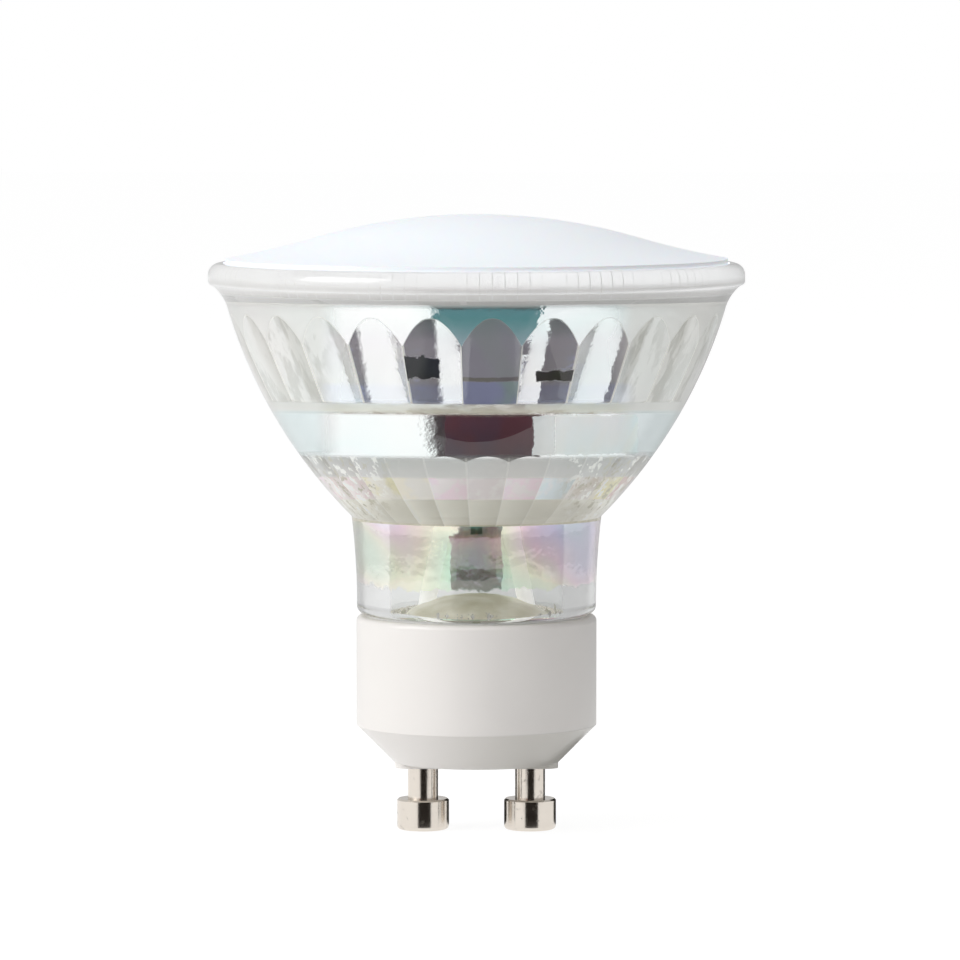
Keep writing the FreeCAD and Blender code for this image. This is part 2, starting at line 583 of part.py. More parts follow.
def led_ring(label, circle_name, count):
    """A ring of light-emitting packages, each with a round window sunk in its top."""
    body = new_body(label)
    sketch = sketch_on(body, "XY_Plane", "package_outline")
    rectangle(sketch, "-led_half_length", "-led_half_width", "led_half_length", "led_half_width")
    window = sketch_on(body, "XY_Plane", "window_outline")
    circle(window, 0, 0, "led_window_radius")
    for item, height in ((sketch, "Dimensions.led_board_top"), (window, "Dimensions.led_top")):
        lift(item, height)
        item.setExpression(".AttachmentOffset.Base.x", cell(circle_name))
    block = pad(body, sketch, "Dimensions.led_height", "package")
    around(body, [block], cell(count), "package_ring")
    sunk = body.newObject("PartDesign::Pocket", "window")
    sunk.Profile = window
    sunk.setExpression("Length", "Dimensions.led_window_depth")
    around(body, [sunk], cell(count), "window_ring")
    return body


def led_packages():
    group = doc.addObject("Part::Compound", "led_packages")
    group.Links = [
        led_ring("outer_led_ring", "outer_led_circle", "outer_led_count"),
        led_ring("inner_led_ring", "inner_led_circle", "inner_led_count"),
    ]
    return keep(group)


def led_pin(label, side):
    """A straight pin that joins the driver board's face to the round board."""
    body = new_body(label)
    sketch = sketch_on(body, "XY_Plane", "pin_outline")
    circle(sketch, "led_pin_x", side + "led_pin_offset", "led_pin_radius")
    lift(sketch, "Dimensions.led_pin_foot")
    pad(body, sketch, "Dimensions.led_pin_length", "pin")
    return keep(body)


def driver_board():
    body = new_body("driver_board")
    sketch = sketch_on(body, "YZ_Plane", "board_outline")
    rectangle(sketch, "-board_half_width", "board_foot", "board_half_width", "board_top")
    pad(body, sketch, "Dimensions.board_thickness", "board", symmetric=True)
    holes = sketch_on(body, "YZ_Plane", "terminal_holes")
    for lead_half, height in (("input_lead_half", "input_can_height"),
                              ("output_lead_half", "output_can_height"),
                              ("drum_lead_half", "drum_height"),
                              ("resistor_lead_half", "resistor_height")):
        for side in ("", "-"):
            circle(holes, side + lead_half, height, "terminal_hole")
    cut_through(body, holes, "terminal_holes")
    return keep(body)


def on_board(item, side, height):
    """Stands an item, built upwards from its own XY plane, on one face of the driver board."""
    item.Placement = FreeCAD.Placement(
        FreeCAD.Vector(0, 0, 0), FreeCAD.Rotation(FreeCAD.Vector(0, 1, 0), 90 if side == "" else -90))
    bind(item, Placement__Base__x="%sDimensions.board_half" % side, Placement__Base__z=cell(height))
    return item


def terminals(body, lead_half):
    """Two wires from the item's foot down through the board, trimmed flush with its far face."""
    wires = sketch_on(body, "XY_Plane", "terminal_outline")
    for side in ("", "-"):
        circle(wires, 0, side + lead_half, "terminal_radius")
    pad(body, wires, "Dimensions.board_thickness", "terminals", reverse=True)


def can_capacitor(label, prefix, side):
    """Aluminium can with a crimped groove near its foot, on a rubber bung with two wires."""
    body = new_body(label)
    bung = sketch_on(body, "XY_Plane", "bung_outline")
    circle(bung, 0, 0, prefix + "_can_radius")
    lift(bung, "Dimensions.can_stand")
    can = pad(body, bung, "Dimensions.%s_can_length - Dimensions.can_stand" % prefix, "can")
    doc.recompute()
    top_rim = max((edge.BoundBox.ZMin, "Edge%d" % (i + 1)) for i, edge in enumerate(can.Shape.Edges)
                  if isinstance(edge.Curve, Part.Circle))
    rounding = body.newObject("PartDesign::Fillet", "can_edge")
    rounding.Base = (can, [top_rim[1]])
    rounding.setExpression("Radius", "Dimensions.can_edge_round")
    crimp = body.newObject("PartDesign::SubtractiveTorus", "crimp")
    crimp.AttachmentSupport = [(origin_part(body, "XY_Plane"), "")]
    crimp.MapMode = "FlatFace"
    bind(crimp, AttachmentOffset__Base__z="Dimensions.can_stand + Dimensions.can_crimp_height",
         Radius1="Dimensions.%s_can_radius" % prefix, Radius2="Dimensions.can_crimp_depth")
    wires = sketch_on(body, "XY_Plane", "terminal_outline")
    for end in ("", "-"):
        circle(wires, 0, end + prefix + "_lead_half", "terminal_radius")
    lift(wires, "Dimensions.can_stand")
    pad(body, wires, "Dimensions.can_stand + Dimensions.board_thickness", "terminals", reverse=True)
    on_board(body, side, prefix + "_can_height")
    return keep(body)


def inductor_core():
    """Ferrite drum with two flanges and a waist for its winding, on two terminal wires."""
    body = new_body("inductor_core")
    for name, radius, foot, length in (
            ("low_flange", "drum_radius", "0", "Dimensions.drum_flange"),
            ("waist", "drum_waist_radius", "Dimensions.drum_flange",
             "Dimensions.drum_length - 2 * Dimensions.drum_flange"),
            ("top_flange", "drum_radius", "Dimensions.drum_length - Dimensions.drum_flange",
             "Dimensions.drum_flange")):
        sketch = sketch_on(body, "XY_Plane", name)
        circle(sketch, 0, 0, radius)
        lift(sketch, foot)
        pad(body, sketch, length, name)
    terminals(body, "drum_lead_half")
    on_board(body, "-", "drum_height")
    return keep(body)


def inductor_winding():
    body = new_body("inductor_winding")
    sketch = sketch_on(body, "XY_Plane", "winding_ring")
    circle(sketch, 0, 0, "winding_radius")
    circle(sketch, 0, 0, "drum_waist_radius")
    lift(sketch, "Dimensions.drum_flange")
    pad(body, sketch, "Dimensions.drum_length - 2 * Dimensions.drum_flange", "coil")
    on_board(body, "-", "drum_height")
    return keep(body)


def fusible_resistor():
    """Round resistor lying along the board's width, with both wires bent down into the board."""
    body = new_body("fusible_resistor")
    disc = sketch_on(body, "XZ_Plane", "rod_disc")
    circle(disc, 0, 0, "resistor_radius")
    disc.setExpression(".AttachmentOffset.Base.y", "Dimensions.resistor_axis")
    shell = pad(body, disc, "Dimensions.resistor_length", "rod", symmetric=True)
    doc.recompute()
    rims = ["Edge%d" % (i + 1) for i, e in enumerate(shell.Shape.Edges)
            if isinstance(e.Curve, Part.Circle)]
    rounding = body.newObject("PartDesign::Fillet", "rod_ends")
    rounding.Base = (shell, rims)
    rounding.setExpression("Radius", "Dimensions.resistor_end_round")
    for side, centre in (("", "left"), ("-", "right")):
        path = sketch_on(body, "YZ_Plane", "wire_path")
        outline(path, [
            (side + "resistor_lead_half", "-board_thickness"),
            (side + "resistor_lead_half", "resistor_bend_foot"),
            (side + "resistor_bend_end", "resistor_axis"),
            (side + "resistor_wire_end", "resistor_axis"),
        ], {1: ("resistor_lead_bend", centre)}, closed=False)
        ring = sketch_on(body, "XY_Plane", "wire_disc")
        circle(ring, 0, side + "resistor_lead_half", "resistor_lead_radius")
        lift(ring, "-Dimensions.board_thickness")
        wire = body.newObject("PartDesign::AdditivePipe", "wire")
        wire.Profile = ring
        wire.Spine = (path, [])
    on_board(body, "", "resistor_height")
    return keep(body)


def gull_wing_package(label, prefix, side):
    """Moulded package with rows of bent legs on two sides."""
    body = new_body(label)
    name = "Dimensions.%s_" % prefix
    block = body.newObject("PartDesign::AdditiveBox", "block")
    block.AttachmentSupport = [(origin_part(body, "XY_Plane"), "")]
    block.MapMode = "FlatFace"
    bind(block, Length=name + "length", Width=name + "width", Height=name + "thickness",
         AttachmentOffset__Base__x="-%slength / 2" % name, AttachmentOffset__Base__y="-%swidth / 2" % name,
         AttachmentOffset__Base__z="Dimensions.package_stand")
    for row, way in (("near", ""), ("far", "-")):
        leg = sketch_on(body, "YZ_Plane", row + "_leg")
        root, knee, shin, toe = (way + prefix + "_leg_" + spot for spot in ("root", "knee", "shin", "toe"))
        low, high = prefix + "_leg_low", prefix + "_leg_high"
        outline(leg, [
            (root, low), (knee, low), (knee, 0), (toe, 0), (toe, "leg_thickness"),
            (shin, "leg_thickness"), (shin, high), (root, high),
        ])
        first = "-(%sleg_count - 1) * %sleg_pitch / 2" % (name, name)
        lift(leg, first)
        bent = pad(body, leg, "Dimensions.leg_width", row + "_leg", symmetric=True)
        row_pattern = body.newObject("PartDesign::LinearPattern", row + "_row")
        row_pattern.Originals = [bent]
        row_pattern.Direction = (origin_part(body, "X_Axis"), [""])
        bind(row_pattern, Length="(%sleg_count - 1) * %sleg_pitch" % (name, name),
             Occurrences=name + "leg_count")
        body.Tip = row_pattern
    on_board(body, side, prefix + "_height")
    return keep(body)


def flyback_diode():
    body = new_body("flyback_diode")
    for name, length, width, height, stand in (
            ("block", "diode_length", "diode_width", "Dimensions.diode_thickness", "diode_tab_thickness"),
            ("tabs", "diode_length", "diode_tab_width", "Dimensions.diode_tab_thickness", None)):
        box = body.newObject("PartDesign::AdditiveBox", name)
        box.AttachmentSupport = [(origin_part(body, "XY_Plane"), "")]
        box.MapMode = "FlatFace"
        bind(box, Length=cell(width), Width=cell(length), Height=height,
             AttachmentOffset__Base__x="-%s / 2" % cell(width),
             AttachmentOffset__Base__y="-%s / 2" % cell(length))
        if stand:
            bind(box, AttachmentOffset__Base__z=cell(stand))
    on_board(body, "", "diode_height")
    return keep(body)


def chip_resistors():
    """Four small chip resistors along the edges of the driver board's right face."""
    chips = []
    for height in ("chip_resistor_low", "chip_resistor_high"):
        for side in ("", "-"):
            chip = doc.addObject("Part::Box", "chip")
            bind(chip, Length="Dimensions.chip_resistor_thickness",
                 Width="Dimensions.chip_resistor_width", Height="Dimensions.chip_resistor_length",
                 Placement__Base__x="Dimensions.board_half",
                 Placement__Base__y="%sDimensions.chip_resistor_offset"
                                    " - Dimensions.chip_resistor_width / 2" % side,
                 Placement__Base__z="%s - Dimensions.chip_resistor_length / 2" % cell(height))
            chips.append(chip)
    group = doc.addObject("Part::Compound", "chip_resistors")
    group.Links = chips
    return keep(group)


def sweep_lead(body, side, radii, kind, name, foot="sleeve_foot", to_board=False):
    """Sweeps a ring or disc from above a pin up the lead's line, to the sleeve's end or on to the board."""
    path = sketch_on(body, "XZ_Plane", name + "_path")
    bend = "left" if side == "" else "right"
    corners = [(side + "pin_offset", foot), (side + "pin_offset", "lean_foot"),
               (side + "lean_start_x", "lean_start")]
    arcs = {1: ("lead_lean_round", bend)}
    if to_board:
        corners += [(side + "lean_end_x", "lean_end"), (side + "lead_level_x", "lead_height"),
                    (side + "board_half", "lead_height")]
        arcs[3] = ("lead_bend", bend)
    else:
        corners.append((side + "sleeve_end_x", "sleeve_end"))
    outline(path, corners, arcs, closed=False)
    profile = sketch_on(body, "XY_Plane", name + "_profile")
    for radius in radii:
        circle(profile, side + "pin_offset", 0, radius)
    lift(profile, cell(foot))
    pipe = body.newObject(kind, name)
    pipe.Profile = profile
    pipe.Spine = (path, [])
    return pipe


def pin_lead(label, side):
    """Wire from a contact pin's bore up through the potting, leaning in to the driver board's face."""
    body = new_body(label)
    sweep_lead(body, side, ["lead_radius"], "PartDesign::AdditivePipe", "lead", "lead_foot", True)
    return keep(body)


def lead_sleeve(label, side):
    body = new_body(label)
    sweep_lead(body, side, ["sleeve_radius", "lead_radius"], "PartDesign::AdditivePipe", "sleeve")
    return keep(body)


def solder_cone(bore):
    """Cone of solder round a wire of the given radius."""
    cone = doc.addObject("Part::Cone", "solder_cone")
    bind(cone, Radius1="Dimensions.solder_radius", Radius2="Dimensions.solder_tip_radius",
         Height="Dimensions.solder_height")
    wire = doc.addObject("Part::Cylinder", "solder_bore")
    bind(wire, Radius=cell(bore), Height="Dimensions.solder_height")
    joint = doc.addObject("Part::Cut", "solder_joint")
    joint.Base = cone
    joint.Tool = wire
    return joint


def solder_joints():
    joints = []
    for side in ("", "-"):
        top = solder_cone("led_pin_radius")
        bind(top, Placement__Base__x="Dimensions.led_pin_x",
             Placement__Base__y="%sDimensions.led_pin_offset" % side,
             Placement__Base__z="Dimensions.led_board_top")
        joints.append(top)
        joints.append(on_board(solder_cone("lead_radius"), side, "lead_height"))
    group = doc.addObject("Part::Compound", "solder_joints")
    group.Links = joints
    return keep(group)


def check_and_write():
    doc.recompute()
    for item in doc.Objects:
        bad = [state for state in item.State if state in ("Invalid", "Error")]
        if bad:
            raise RuntimeError("%s is %s" % (item.Label, bad))
    for item in parts:
        if item.Shape.isNull() or not item.Shape.isValid() or not item.Shape.Solids:
            raise RuntimeError("%s has no valid solid" % item.Label)
    os.makedirs("parts", exist_ok=True)
    for item in parts:
        item.Shape.exportStep("parts/%s.step" % item.Label)
        print("%-22s %2d solids %10.2f mm3" % (item.Label, len(item.Shape.Solids), item.Shape.Volume))


fill_sheet()
dome_cover()
rim_sealant()
glass_reflector()
base_housing()
base_adhesive()
neck_potting()
contact_pin("contact_pin_right", "")
contact_pin("contact_pin_left", "-")
led_board()
led_packages()
led_pin("led_pin_rear", "")
led_pin("led_pin_front", "-")
driver_board()
can_capacitor("input_capacitor", "input", "")
can_capacitor("output_capacitor", "output", "-")
inductor_core()
inductor_winding()
fusible_resistor()
gull_wing_package("driver_chip", "chip", "-")
gull_wing_package("bridge_rectifier", "bridge", "")
flyback_diode()
chip_resistors()
pin_lead("pin_lead_right", "")
pin_lead("pin_lead_left", "-")
lead_sleeve("lead_sleeve_right", "")
lead_sleeve("lead_sleeve_left", "-")
solder_joints()
check_and_write()
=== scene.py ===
"""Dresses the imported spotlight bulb: pressed glass with its colour-shifting mirror film, opal dome,
glazed base, nickel pins and the driver inside, on a pale studio floor.

The bulb's own sizes are in millimetres and its stage is in metres.
"""
import math

import bpy
import numpy as np
from bpy.props import FloatProperty, FloatVectorProperty, IntProperty, PointerProperty
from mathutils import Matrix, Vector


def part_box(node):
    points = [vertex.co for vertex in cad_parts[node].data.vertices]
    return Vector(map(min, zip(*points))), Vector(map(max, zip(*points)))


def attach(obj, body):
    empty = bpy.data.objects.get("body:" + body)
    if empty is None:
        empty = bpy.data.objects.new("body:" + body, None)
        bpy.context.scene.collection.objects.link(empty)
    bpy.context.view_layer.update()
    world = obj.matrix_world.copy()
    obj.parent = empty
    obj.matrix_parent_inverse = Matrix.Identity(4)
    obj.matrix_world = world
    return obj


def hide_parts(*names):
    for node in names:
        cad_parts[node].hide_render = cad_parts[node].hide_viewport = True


bl_info = {
    "name": "Spotlight Bulb Dressing",
    "version": (1, 0, 0),
    "blender": (4, 5, 0),
    "location": "View3D > Sidebar > Bulb",
    "description": "Glass, mirror film, glaze, plating and studio for a two-pin spotlight bulb",
    "category": "Object",
}

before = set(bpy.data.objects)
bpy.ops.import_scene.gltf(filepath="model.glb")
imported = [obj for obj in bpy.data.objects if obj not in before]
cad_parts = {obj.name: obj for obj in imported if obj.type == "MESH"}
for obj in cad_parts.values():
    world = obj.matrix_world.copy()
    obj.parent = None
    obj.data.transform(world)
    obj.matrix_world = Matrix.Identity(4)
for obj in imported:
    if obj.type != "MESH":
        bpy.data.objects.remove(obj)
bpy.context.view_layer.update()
MM = 0.001
# Rows and columns of the glass's mesh
STEPS_PER_FLUTE = 16
BAND_ROWS = 5
FLUTE_ROWS = 16
LIP_ROWS = 4


def foot_of(node):
    """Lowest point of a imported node, in mm."""
    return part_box(node)[0].z / MM


def top_of(node):
    """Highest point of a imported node, in mm."""
    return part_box(node)[1].z / MM


def reach_of(node):
    """Largest radius of a packed turned node, in mm."""
    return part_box(node)[1].x / MM


def millimetres(name, description, default):
    return FloatProperty(name=name, description=description + ", in mm", default=default, min=0.0)


def colour(name, description, default):
    return FloatVectorProperty(name=name, description=description, subtype="COLOR", size=3,
                               default=default, min=0.0, max=1.0)


class GlassSizes(bpy.types.PropertyGroup):
    """Sizes of the pressed glass that the frame's boxes don't give."""
    spigot_inset: millimetres("Spigot inset", "Base's outside to the glass inside it", 1.6)
    neck_inset: millimetres("Neck inset", "Base's outside to the neck's", 0.05)
    neck_edge: millimetres("Neck edge", "Round at the neck's foot", 0.8)
    neck_height: millimetres("Neck height", "Neck above its shoulder", 9.15)
    neck_flare: millimetres("Neck flare", "How much the neck widens to the bowl", 0.5)
    neck_arc: millimetres("Neck arc", "Radius of the neck's outline", 70.0)
    bowl_height: millimetres("Bowl height", "Neck to the cove under the rim", 19.1)
    bowl_arc: millimetres("Bowl arc", "Radius of the bowl's outline", 46.0)
    wall: millimetres("Wall", "Glass behind the film", 2.75)
    rim_undercut: millimetres("Rim undercut", "Rim's outside to the bowl's top", 1.89)
    cove_height: millimetres("Cove height", "Height of the cove under the rim", 2.45)
    cove_arc: millimetres("Cove arc", "Radius of the cove", 4.3)
    bead_low: millimetres("Bead's lower edge", "Round under the rim's bead", 0.35)
    bead_top: millimetres("Bead's upper edge", "Round over the rim's bead", 1.1)
    ledge_width: millimetres("Ledge", "Seat of the light board", 2.43)
    band_height: millimetres("Band height", "Plain band above the flutes", 1.55)
    band_taper: millimetres("Band taper", "How much the band narrows", 0.42)
    flute_height: millimetres("Flute height", "Height of the flutes", 7.65)
    flute_section: millimetres("Flute section", "Radius of a flute's section", 11.3)
    flute_relief: millimetres("Flute relief", "Step at the flutes' foot", 0.6)
    relief_drop: millimetres("Relief drop", "Depth to which the band's cone runs on", 3.45)
    ring_height: millimetres("Ring height", "Plain ring under the flutes", 0.9)
    ring_inset: millimetres("Ring inset", "How far the ring's foot stands in", 0.3)
    mirror_swell: millimetres("Mirror swell", "How far the mirror band's foot stands out", 0.3)
    facet_row: millimetres("Facet row", "Height of the upper facet rows", 2.0)
    facet_last: millimetres("Last facet row", "Height of the lowest facet row", 1.6)
    second_swell: millimetres("Second swell", "How far the second row's top stands out", 0.4)
    third_swell: millimetres("Third swell", "How far the third row's top stands out", 0.3)
    throat_rise: millimetres("Throat rise", "Neck's top to the facets", 1.5)
    throat_height: millimetres("Throat height", "Height of the rounded throat", 1.7)
    throat_arc: millimetres("Throat arc", "Radius of the throat", 2.2)
    flute_count: IntProperty(name="Flutes", description="Flutes and facets round the bowl", default=24,
                             min=6)
    flute_turn: FloatProperty(name="Flute turn", description="Turn of the flutes, in degrees", default=3.8)


class FinishColours(bpy.types.PropertyGroup):
    """Colours of the finishes."""
    opal: colour("Opal", "Diffusing plastic of the dome", (0.89, 0.935, 0.99))
    glaze: colour("Glaze", "Base", (0.86, 0.83, 0.80))
    nickel: colour("Nickel", "Contact pins", (0.76, 0.70, 0.63))
    glass: colour("Glass", "Tint of the clear glass", (0.975, 0.985, 0.978))


class StudioSizes(bpy.types.PropertyGroup):
    """Camera and lamp levels."""
    camera_distance: FloatProperty(name="Camera distance", description="From the bulb's axis",
                                   default=0.570, min=0.2, unit="LENGTH")
    camera_height: FloatProperty(name="Camera height", description="Above the floor", default=0.073,
                                 unit="LENGTH")
    aim_height: FloatProperty(name="Aim height", description="Height that the camera looks at",
                              default=0.0327, unit="LENGTH")
    lens: FloatProperty(name="Lens", description="Focal length on a 36 mm sensor, in mm", default=230.0)
    key_level: FloatProperty(name="Key level", description="Radiance of the left softbox", default=4.4)
    top_level: FloatProperty(name="Top level", description="Radiance of the upper softbox", default=0.9)
    world_level: FloatProperty(name="World level", description="Light from all round", default=0.50)


class Socket:
    """A node's output with Python's operators, each of which adds one Math node."""

    def __init__(self, tree, output):
        self.tree = tree
        self.output = output

    def math(self, operation, *others):
        return self.tree.math(operation, self, *others)

    def __add__(self, other):
        return self.math("ADD", other)

    def __sub__(self, other):
        return self.math("SUBTRACT", other)

    def __mul__(self, other):
        return self.math("MULTIPLY", other)

    def __truediv__(self, other):
        return self.math("DIVIDE", other)

    def __rsub__(self, other):
        return self.tree.math("SUBTRACT", other, self)

    def __neg__(self):
        return 0.0 - self

    __radd__ = __add__
    __rmul__ = __mul__

    def larger(self, other):
        return self.math("MAXIMUM", other)

    def size(self):
        return self.math("ABSOLUTE")

    def smooth(self, low, high):
        """0 at low, 1 at high, eased in between."""
        return self.tree.add("ShaderNodeMapRange", {"interpolation_type": "SMOOTHSTEP"},
                             {"Value": self, "From Min": low, "From Max": high})


class Tree:
    """A material's or the world's nodes, built by one method."""

    def __init__(self, owner):
        owner.use_nodes = True
        self.nodes = owner.node_tree.nodes
        self.links = owner.node_tree.links
        self.nodes.clear()

    def add(self, kind, settings=None, inputs=None, out=0):
        """Adds a node, sets its settings first, then its sockets by name or number."""
        node = self.nodes.new(kind)
        for name, value in (settings or {}).items():
            if name == "stops":
                set_stops(node.color_ramp, value)
            else:
                setattr(node, name, value)
        for name, value in (inputs or {}).items():
            if isinstance(value, Socket):
                self.links.new(value.output, node.inputs[name])
            else:
                node.inputs[name].default_value = value
        return Socket(self, node.outputs[out]) if node.outputs else None

    def math(self, operation, *operands):
        return self.add("ShaderNodeMath", {"operation": operation}, dict(enumerate(operands)))

    def place(self):
        """Object coordinates in metres."""
        return self.add("ShaderNodeTexCoord", out="Object")

    def along(self, axis):
        """One object coordinate, in mm."""
        return self.add("ShaderNodeSeparateXYZ", inputs={0: self.place()}, out=axis) / MM

    def noise(self, scale, detail=2.0, stretch=(1.0, 1.0, 1.0), roughness=0.5):
        """Noise from 0 to 1 with about scale bumps in a metre, closer together where stretch is larger."""
        vector = self.add("ShaderNodeMapping", inputs={"Vector": self.place(), "Scale": stretch})
        return self.add("ShaderNodeTexNoise", inputs={
            "Vector": vector, "Scale": scale, "Detail": detail, "Roughness": roughness}, out="Fac")

    def ramp(self, factor, stops):
        """Colour ramp; stops are (position, (red, green, blue))."""
        return self.add("ShaderNodeValToRGB", {"stops": stops}, {"Fac": factor})

    def bands(self, place, stops):
        """Colour ramp whose stops are (place, colour) in the same unit as place."""
        low, high = stops[0][0], stops[-1][0]
        share = (place - low) / (high - low)
        return self.ramp(share, [((at - low) / (high - low), tone) for at, tone in stops])

    def value(self, number):
        """A constant as a socket."""
        node = self.add("ShaderNodeValue")
        node.output.default_value = number
        return node

    def mix(self, factor, first, second, blend="MIX"):
        return self.add("ShaderNodeMix", {"data_type": "RGBA", "blend_type": blend, "clamp_factor": True},
                        {0: factor, 6: first, 7: second}, out=2)

    def bump(self, level, strength, distance):
        return self.add("ShaderNodeBump", inputs={"Height": level, "Strength": strength,
                                                  "Distance": distance})

    def shader(self, **inputs):
        """A Principled shader; underscores in a name stand for spaces."""
        named = {name.replace("_", " "): value for name, value in inputs.items()}
        return self.add("ShaderNodeBsdfPrincipled", inputs=named)

    def blend(self, share, first, second):
        return self.add("ShaderNodeMixShader", inputs={0: share, 1: first, 2: second})

    def finish(self, shader):
        self.add("ShaderNodeOutputMaterial", inputs={"Surface": shader})


def set_stops(ramp, stops):
    """Fills a colour ramp with its stops."""
    while len(ramp.elements) < len(stops):
        ramp.elements.new(1.0)
    for element, (position, tone) in zip(ramp.elements, stops):
        element.position = position
        element.color = (*tone, 1.0)


def rgba(tone, level=1.0):
    return (*(part * level for part in tone), 1.0)


def new_material(name):
    material = bpy.data.materials.new(name)
    return material, Tree(material)


def clear_glass(tone):
    """Pressed glass: clear, with the slight waviness that the press leaves."""
    material, tree = new_material("clear pressed glass")
    waves = tree.noise(160.0, 1.0, (1.0, 1.0, 0.45))
    tree.finish(tree.shader(Base_Color=rgba(tone), Roughness=0.015, IOR=1.5, Transmission_Weight=1.0,
                            Normal=tree.bump(waves, 0.05, 0.001)))
    return material


# Height in mm, and the haze's colour there, which shows where the film mirrors nothing bright: partly the
# film's own tint, partly painted reflection of the surroundings
HAZE_AND_PAINTED_REFLECTION = [
    (29.2, (0.74, 0.68, 0.52)), (30.6, (1.00, 0.98, 0.88)), (32.4, (1.00, 0.98, 0.88)),
    (32.6, (0.98, 0.95, 0.94)), (34.4, (1.00, 0.98, 0.98)), (34.6, (0.66, 0.65, 0.64)),
    (36.2, (0.44, 0.44, 0.43)), (36.8, (0.10, 0.03, 0.03)), (40.1, (0.34, 0.09, 0.13)),
    (40.6, (0.80, 0.75, 0.60)), (41.2, (0.70, 0.67, 0.58)), (41.5, (0.70, 0.76, 1.00)),
    (42.8, (0.66, 0.70, 0.98)), (43.2, (0.86, 0.84, 0.86)), (47.0, (0.92, 0.86, 0.98)),
    (48.9, (0.50, 0.72, 0.74)), (50.0, (0.60, 0.80, 0.80)), (50.5, (0.80, 0.80, 0.78)),
]
# Height in mm, and how much of the light the film mirrors there
FILM_MIRROR = [(29.2, 0.10), (32.4, 0.12), (32.6, 0.09), (34.4, 0.09), (34.6, 0.20), (36.2, 0.26),
               (36.6, 0.95), (40.2, 0.95), (40.6, 0.38), (41.2, 0.42), (41.6, 0.74), (47.0, 0.74),
               (49.0, 0.92), (50.0, 0.92), (50.4, 0.30)]
# Painted reflections that differ from one facet to the next, as if each flat facet mirrored its own patch of
# the surroundings, in the film's tints
PAINTED_FACET_REFLECTIONS = [(0.08, (1.00, 0.78, 0.92)), (0.20, (0.80, 0.76, 0.42)), (0.34, (0.94, 0.90, 1.00)),
               (0.46, (0.52, 0.45, 0.30)), (0.56, (0.84, 0.80, 0.52)), (0.66, (0.98, 0.80, 0.90)),
               (0.76, (0.66, 0.49, 0.42)), (0.88, (0.82, 0.94, 1.00))]
# Heights in mm at which a row of facets ends, of the flutes' foot, and over which the mirror band ends
FACET_ROWS = (32.5, 34.5, 36.5)
FLUTE_FOOT = 41.3
BAND_TOP = (40.2, 40.8)
# Distances from the middle in mm over which the mirror gives way to a pale haze that is painted reflection
# of grey surroundings, and over which the facets' painted glints come in
FAR_REFLECTION_SIDE = (11.2, 13.8)
GLINT_SIDE = (6.0, 10.0)
# The pale line round a flute, a painted highlight: from which share of its width outwards, its width under
# the arch in mm, and its colour
EDGE_HIGHLIGHT_SHARE = (0.465, 0.485)
ARCH_HIGHLIGHT = 0.10
EDGE_HIGHLIGHT_TONE = (0.94, 0.93, 0.88, 1)
# Painted reflections over the mirror at the front, dark and pale patches that stand for what it would mirror
# there: in mm their foot, top, left and right, how much of the mirror they hide, their colour, how ragged
# they are in mm and the flute they lie in, if in one, counted from the front one
PAINTED_REFLECTIONS = (
    (41.0, 49.0, -3.0, 6.0, 0.88, (0.23, 0.22, 0.26), 0.0, 0),
    (41.0, 43.3, -3.0, 6.0, 0.88, (0.26, 0.28, 0.44), 0.1, 0),
    (43.35, 43.7, -3.0, 6.0, 0.80, (0.16, 0.15, 0.11), 0.5, 0),
    (43.5, 45.5, -7.5, -3.2, 1.00, (0.008, 0.008, 0.014), 1.6, 23),
    (43.3, 44.3, 5.1, 8.6, 1.00, (0.03, 0.03, 0.02), 0.8, 1),
    (36.6, 40.3, -2.7, 4.8, 0.80, (0.065, 0.02, 0.03), 0.5, None),
    (36.6, 40.3, 4.8, 6.7, 0.94, (0.94, 1.00, 1.00), 0.8, None),
    (36.6, 40.3, 6.7, 13.5, 0.45, (0.72, 1.00, 1.00), 0.8, None),
)


def between(value, low, high, soft):
    """1 where a socket's value lies between two limits, with soft edges."""
    return value.smooth(low - soft, low + soft) * (1.0 - value.smooth(high - soft, high + soft))


def film_cell(tree, height, sizes):
    """A random number from 0 to 1 that is the same all over one flute or one facet, its column counted
    from the front one, and how far across it a point lies, from 0 to 1."""
    turns = sizes.flute_count / 2 / math.pi
    angle = tree.math("ARCTAN2", tree.along("Y"), tree.along("X"))
    first = math.radians(sizes.flute_turn - 90) * turns - 0.5
    place = angle * turns - first
    column = place.math("FLOORED_MODULO", sizes.flute_count).math("FLOOR")
    row = sum((height.math("GREATER_THAN", edge) for edge in FACET_ROWS[1:]),
              height.math("GREATER_THAN", FACET_ROWS[0]))
    cell = tree.add("ShaderNodeCombineXYZ", inputs={0: column, 1: row})
    chance = tree.add("ShaderNodeTexWhiteNoise", {"noise_dimensions": "3D"}, {"Vector": cell}, out="Value")
    return chance, column, place.math("FRACT")


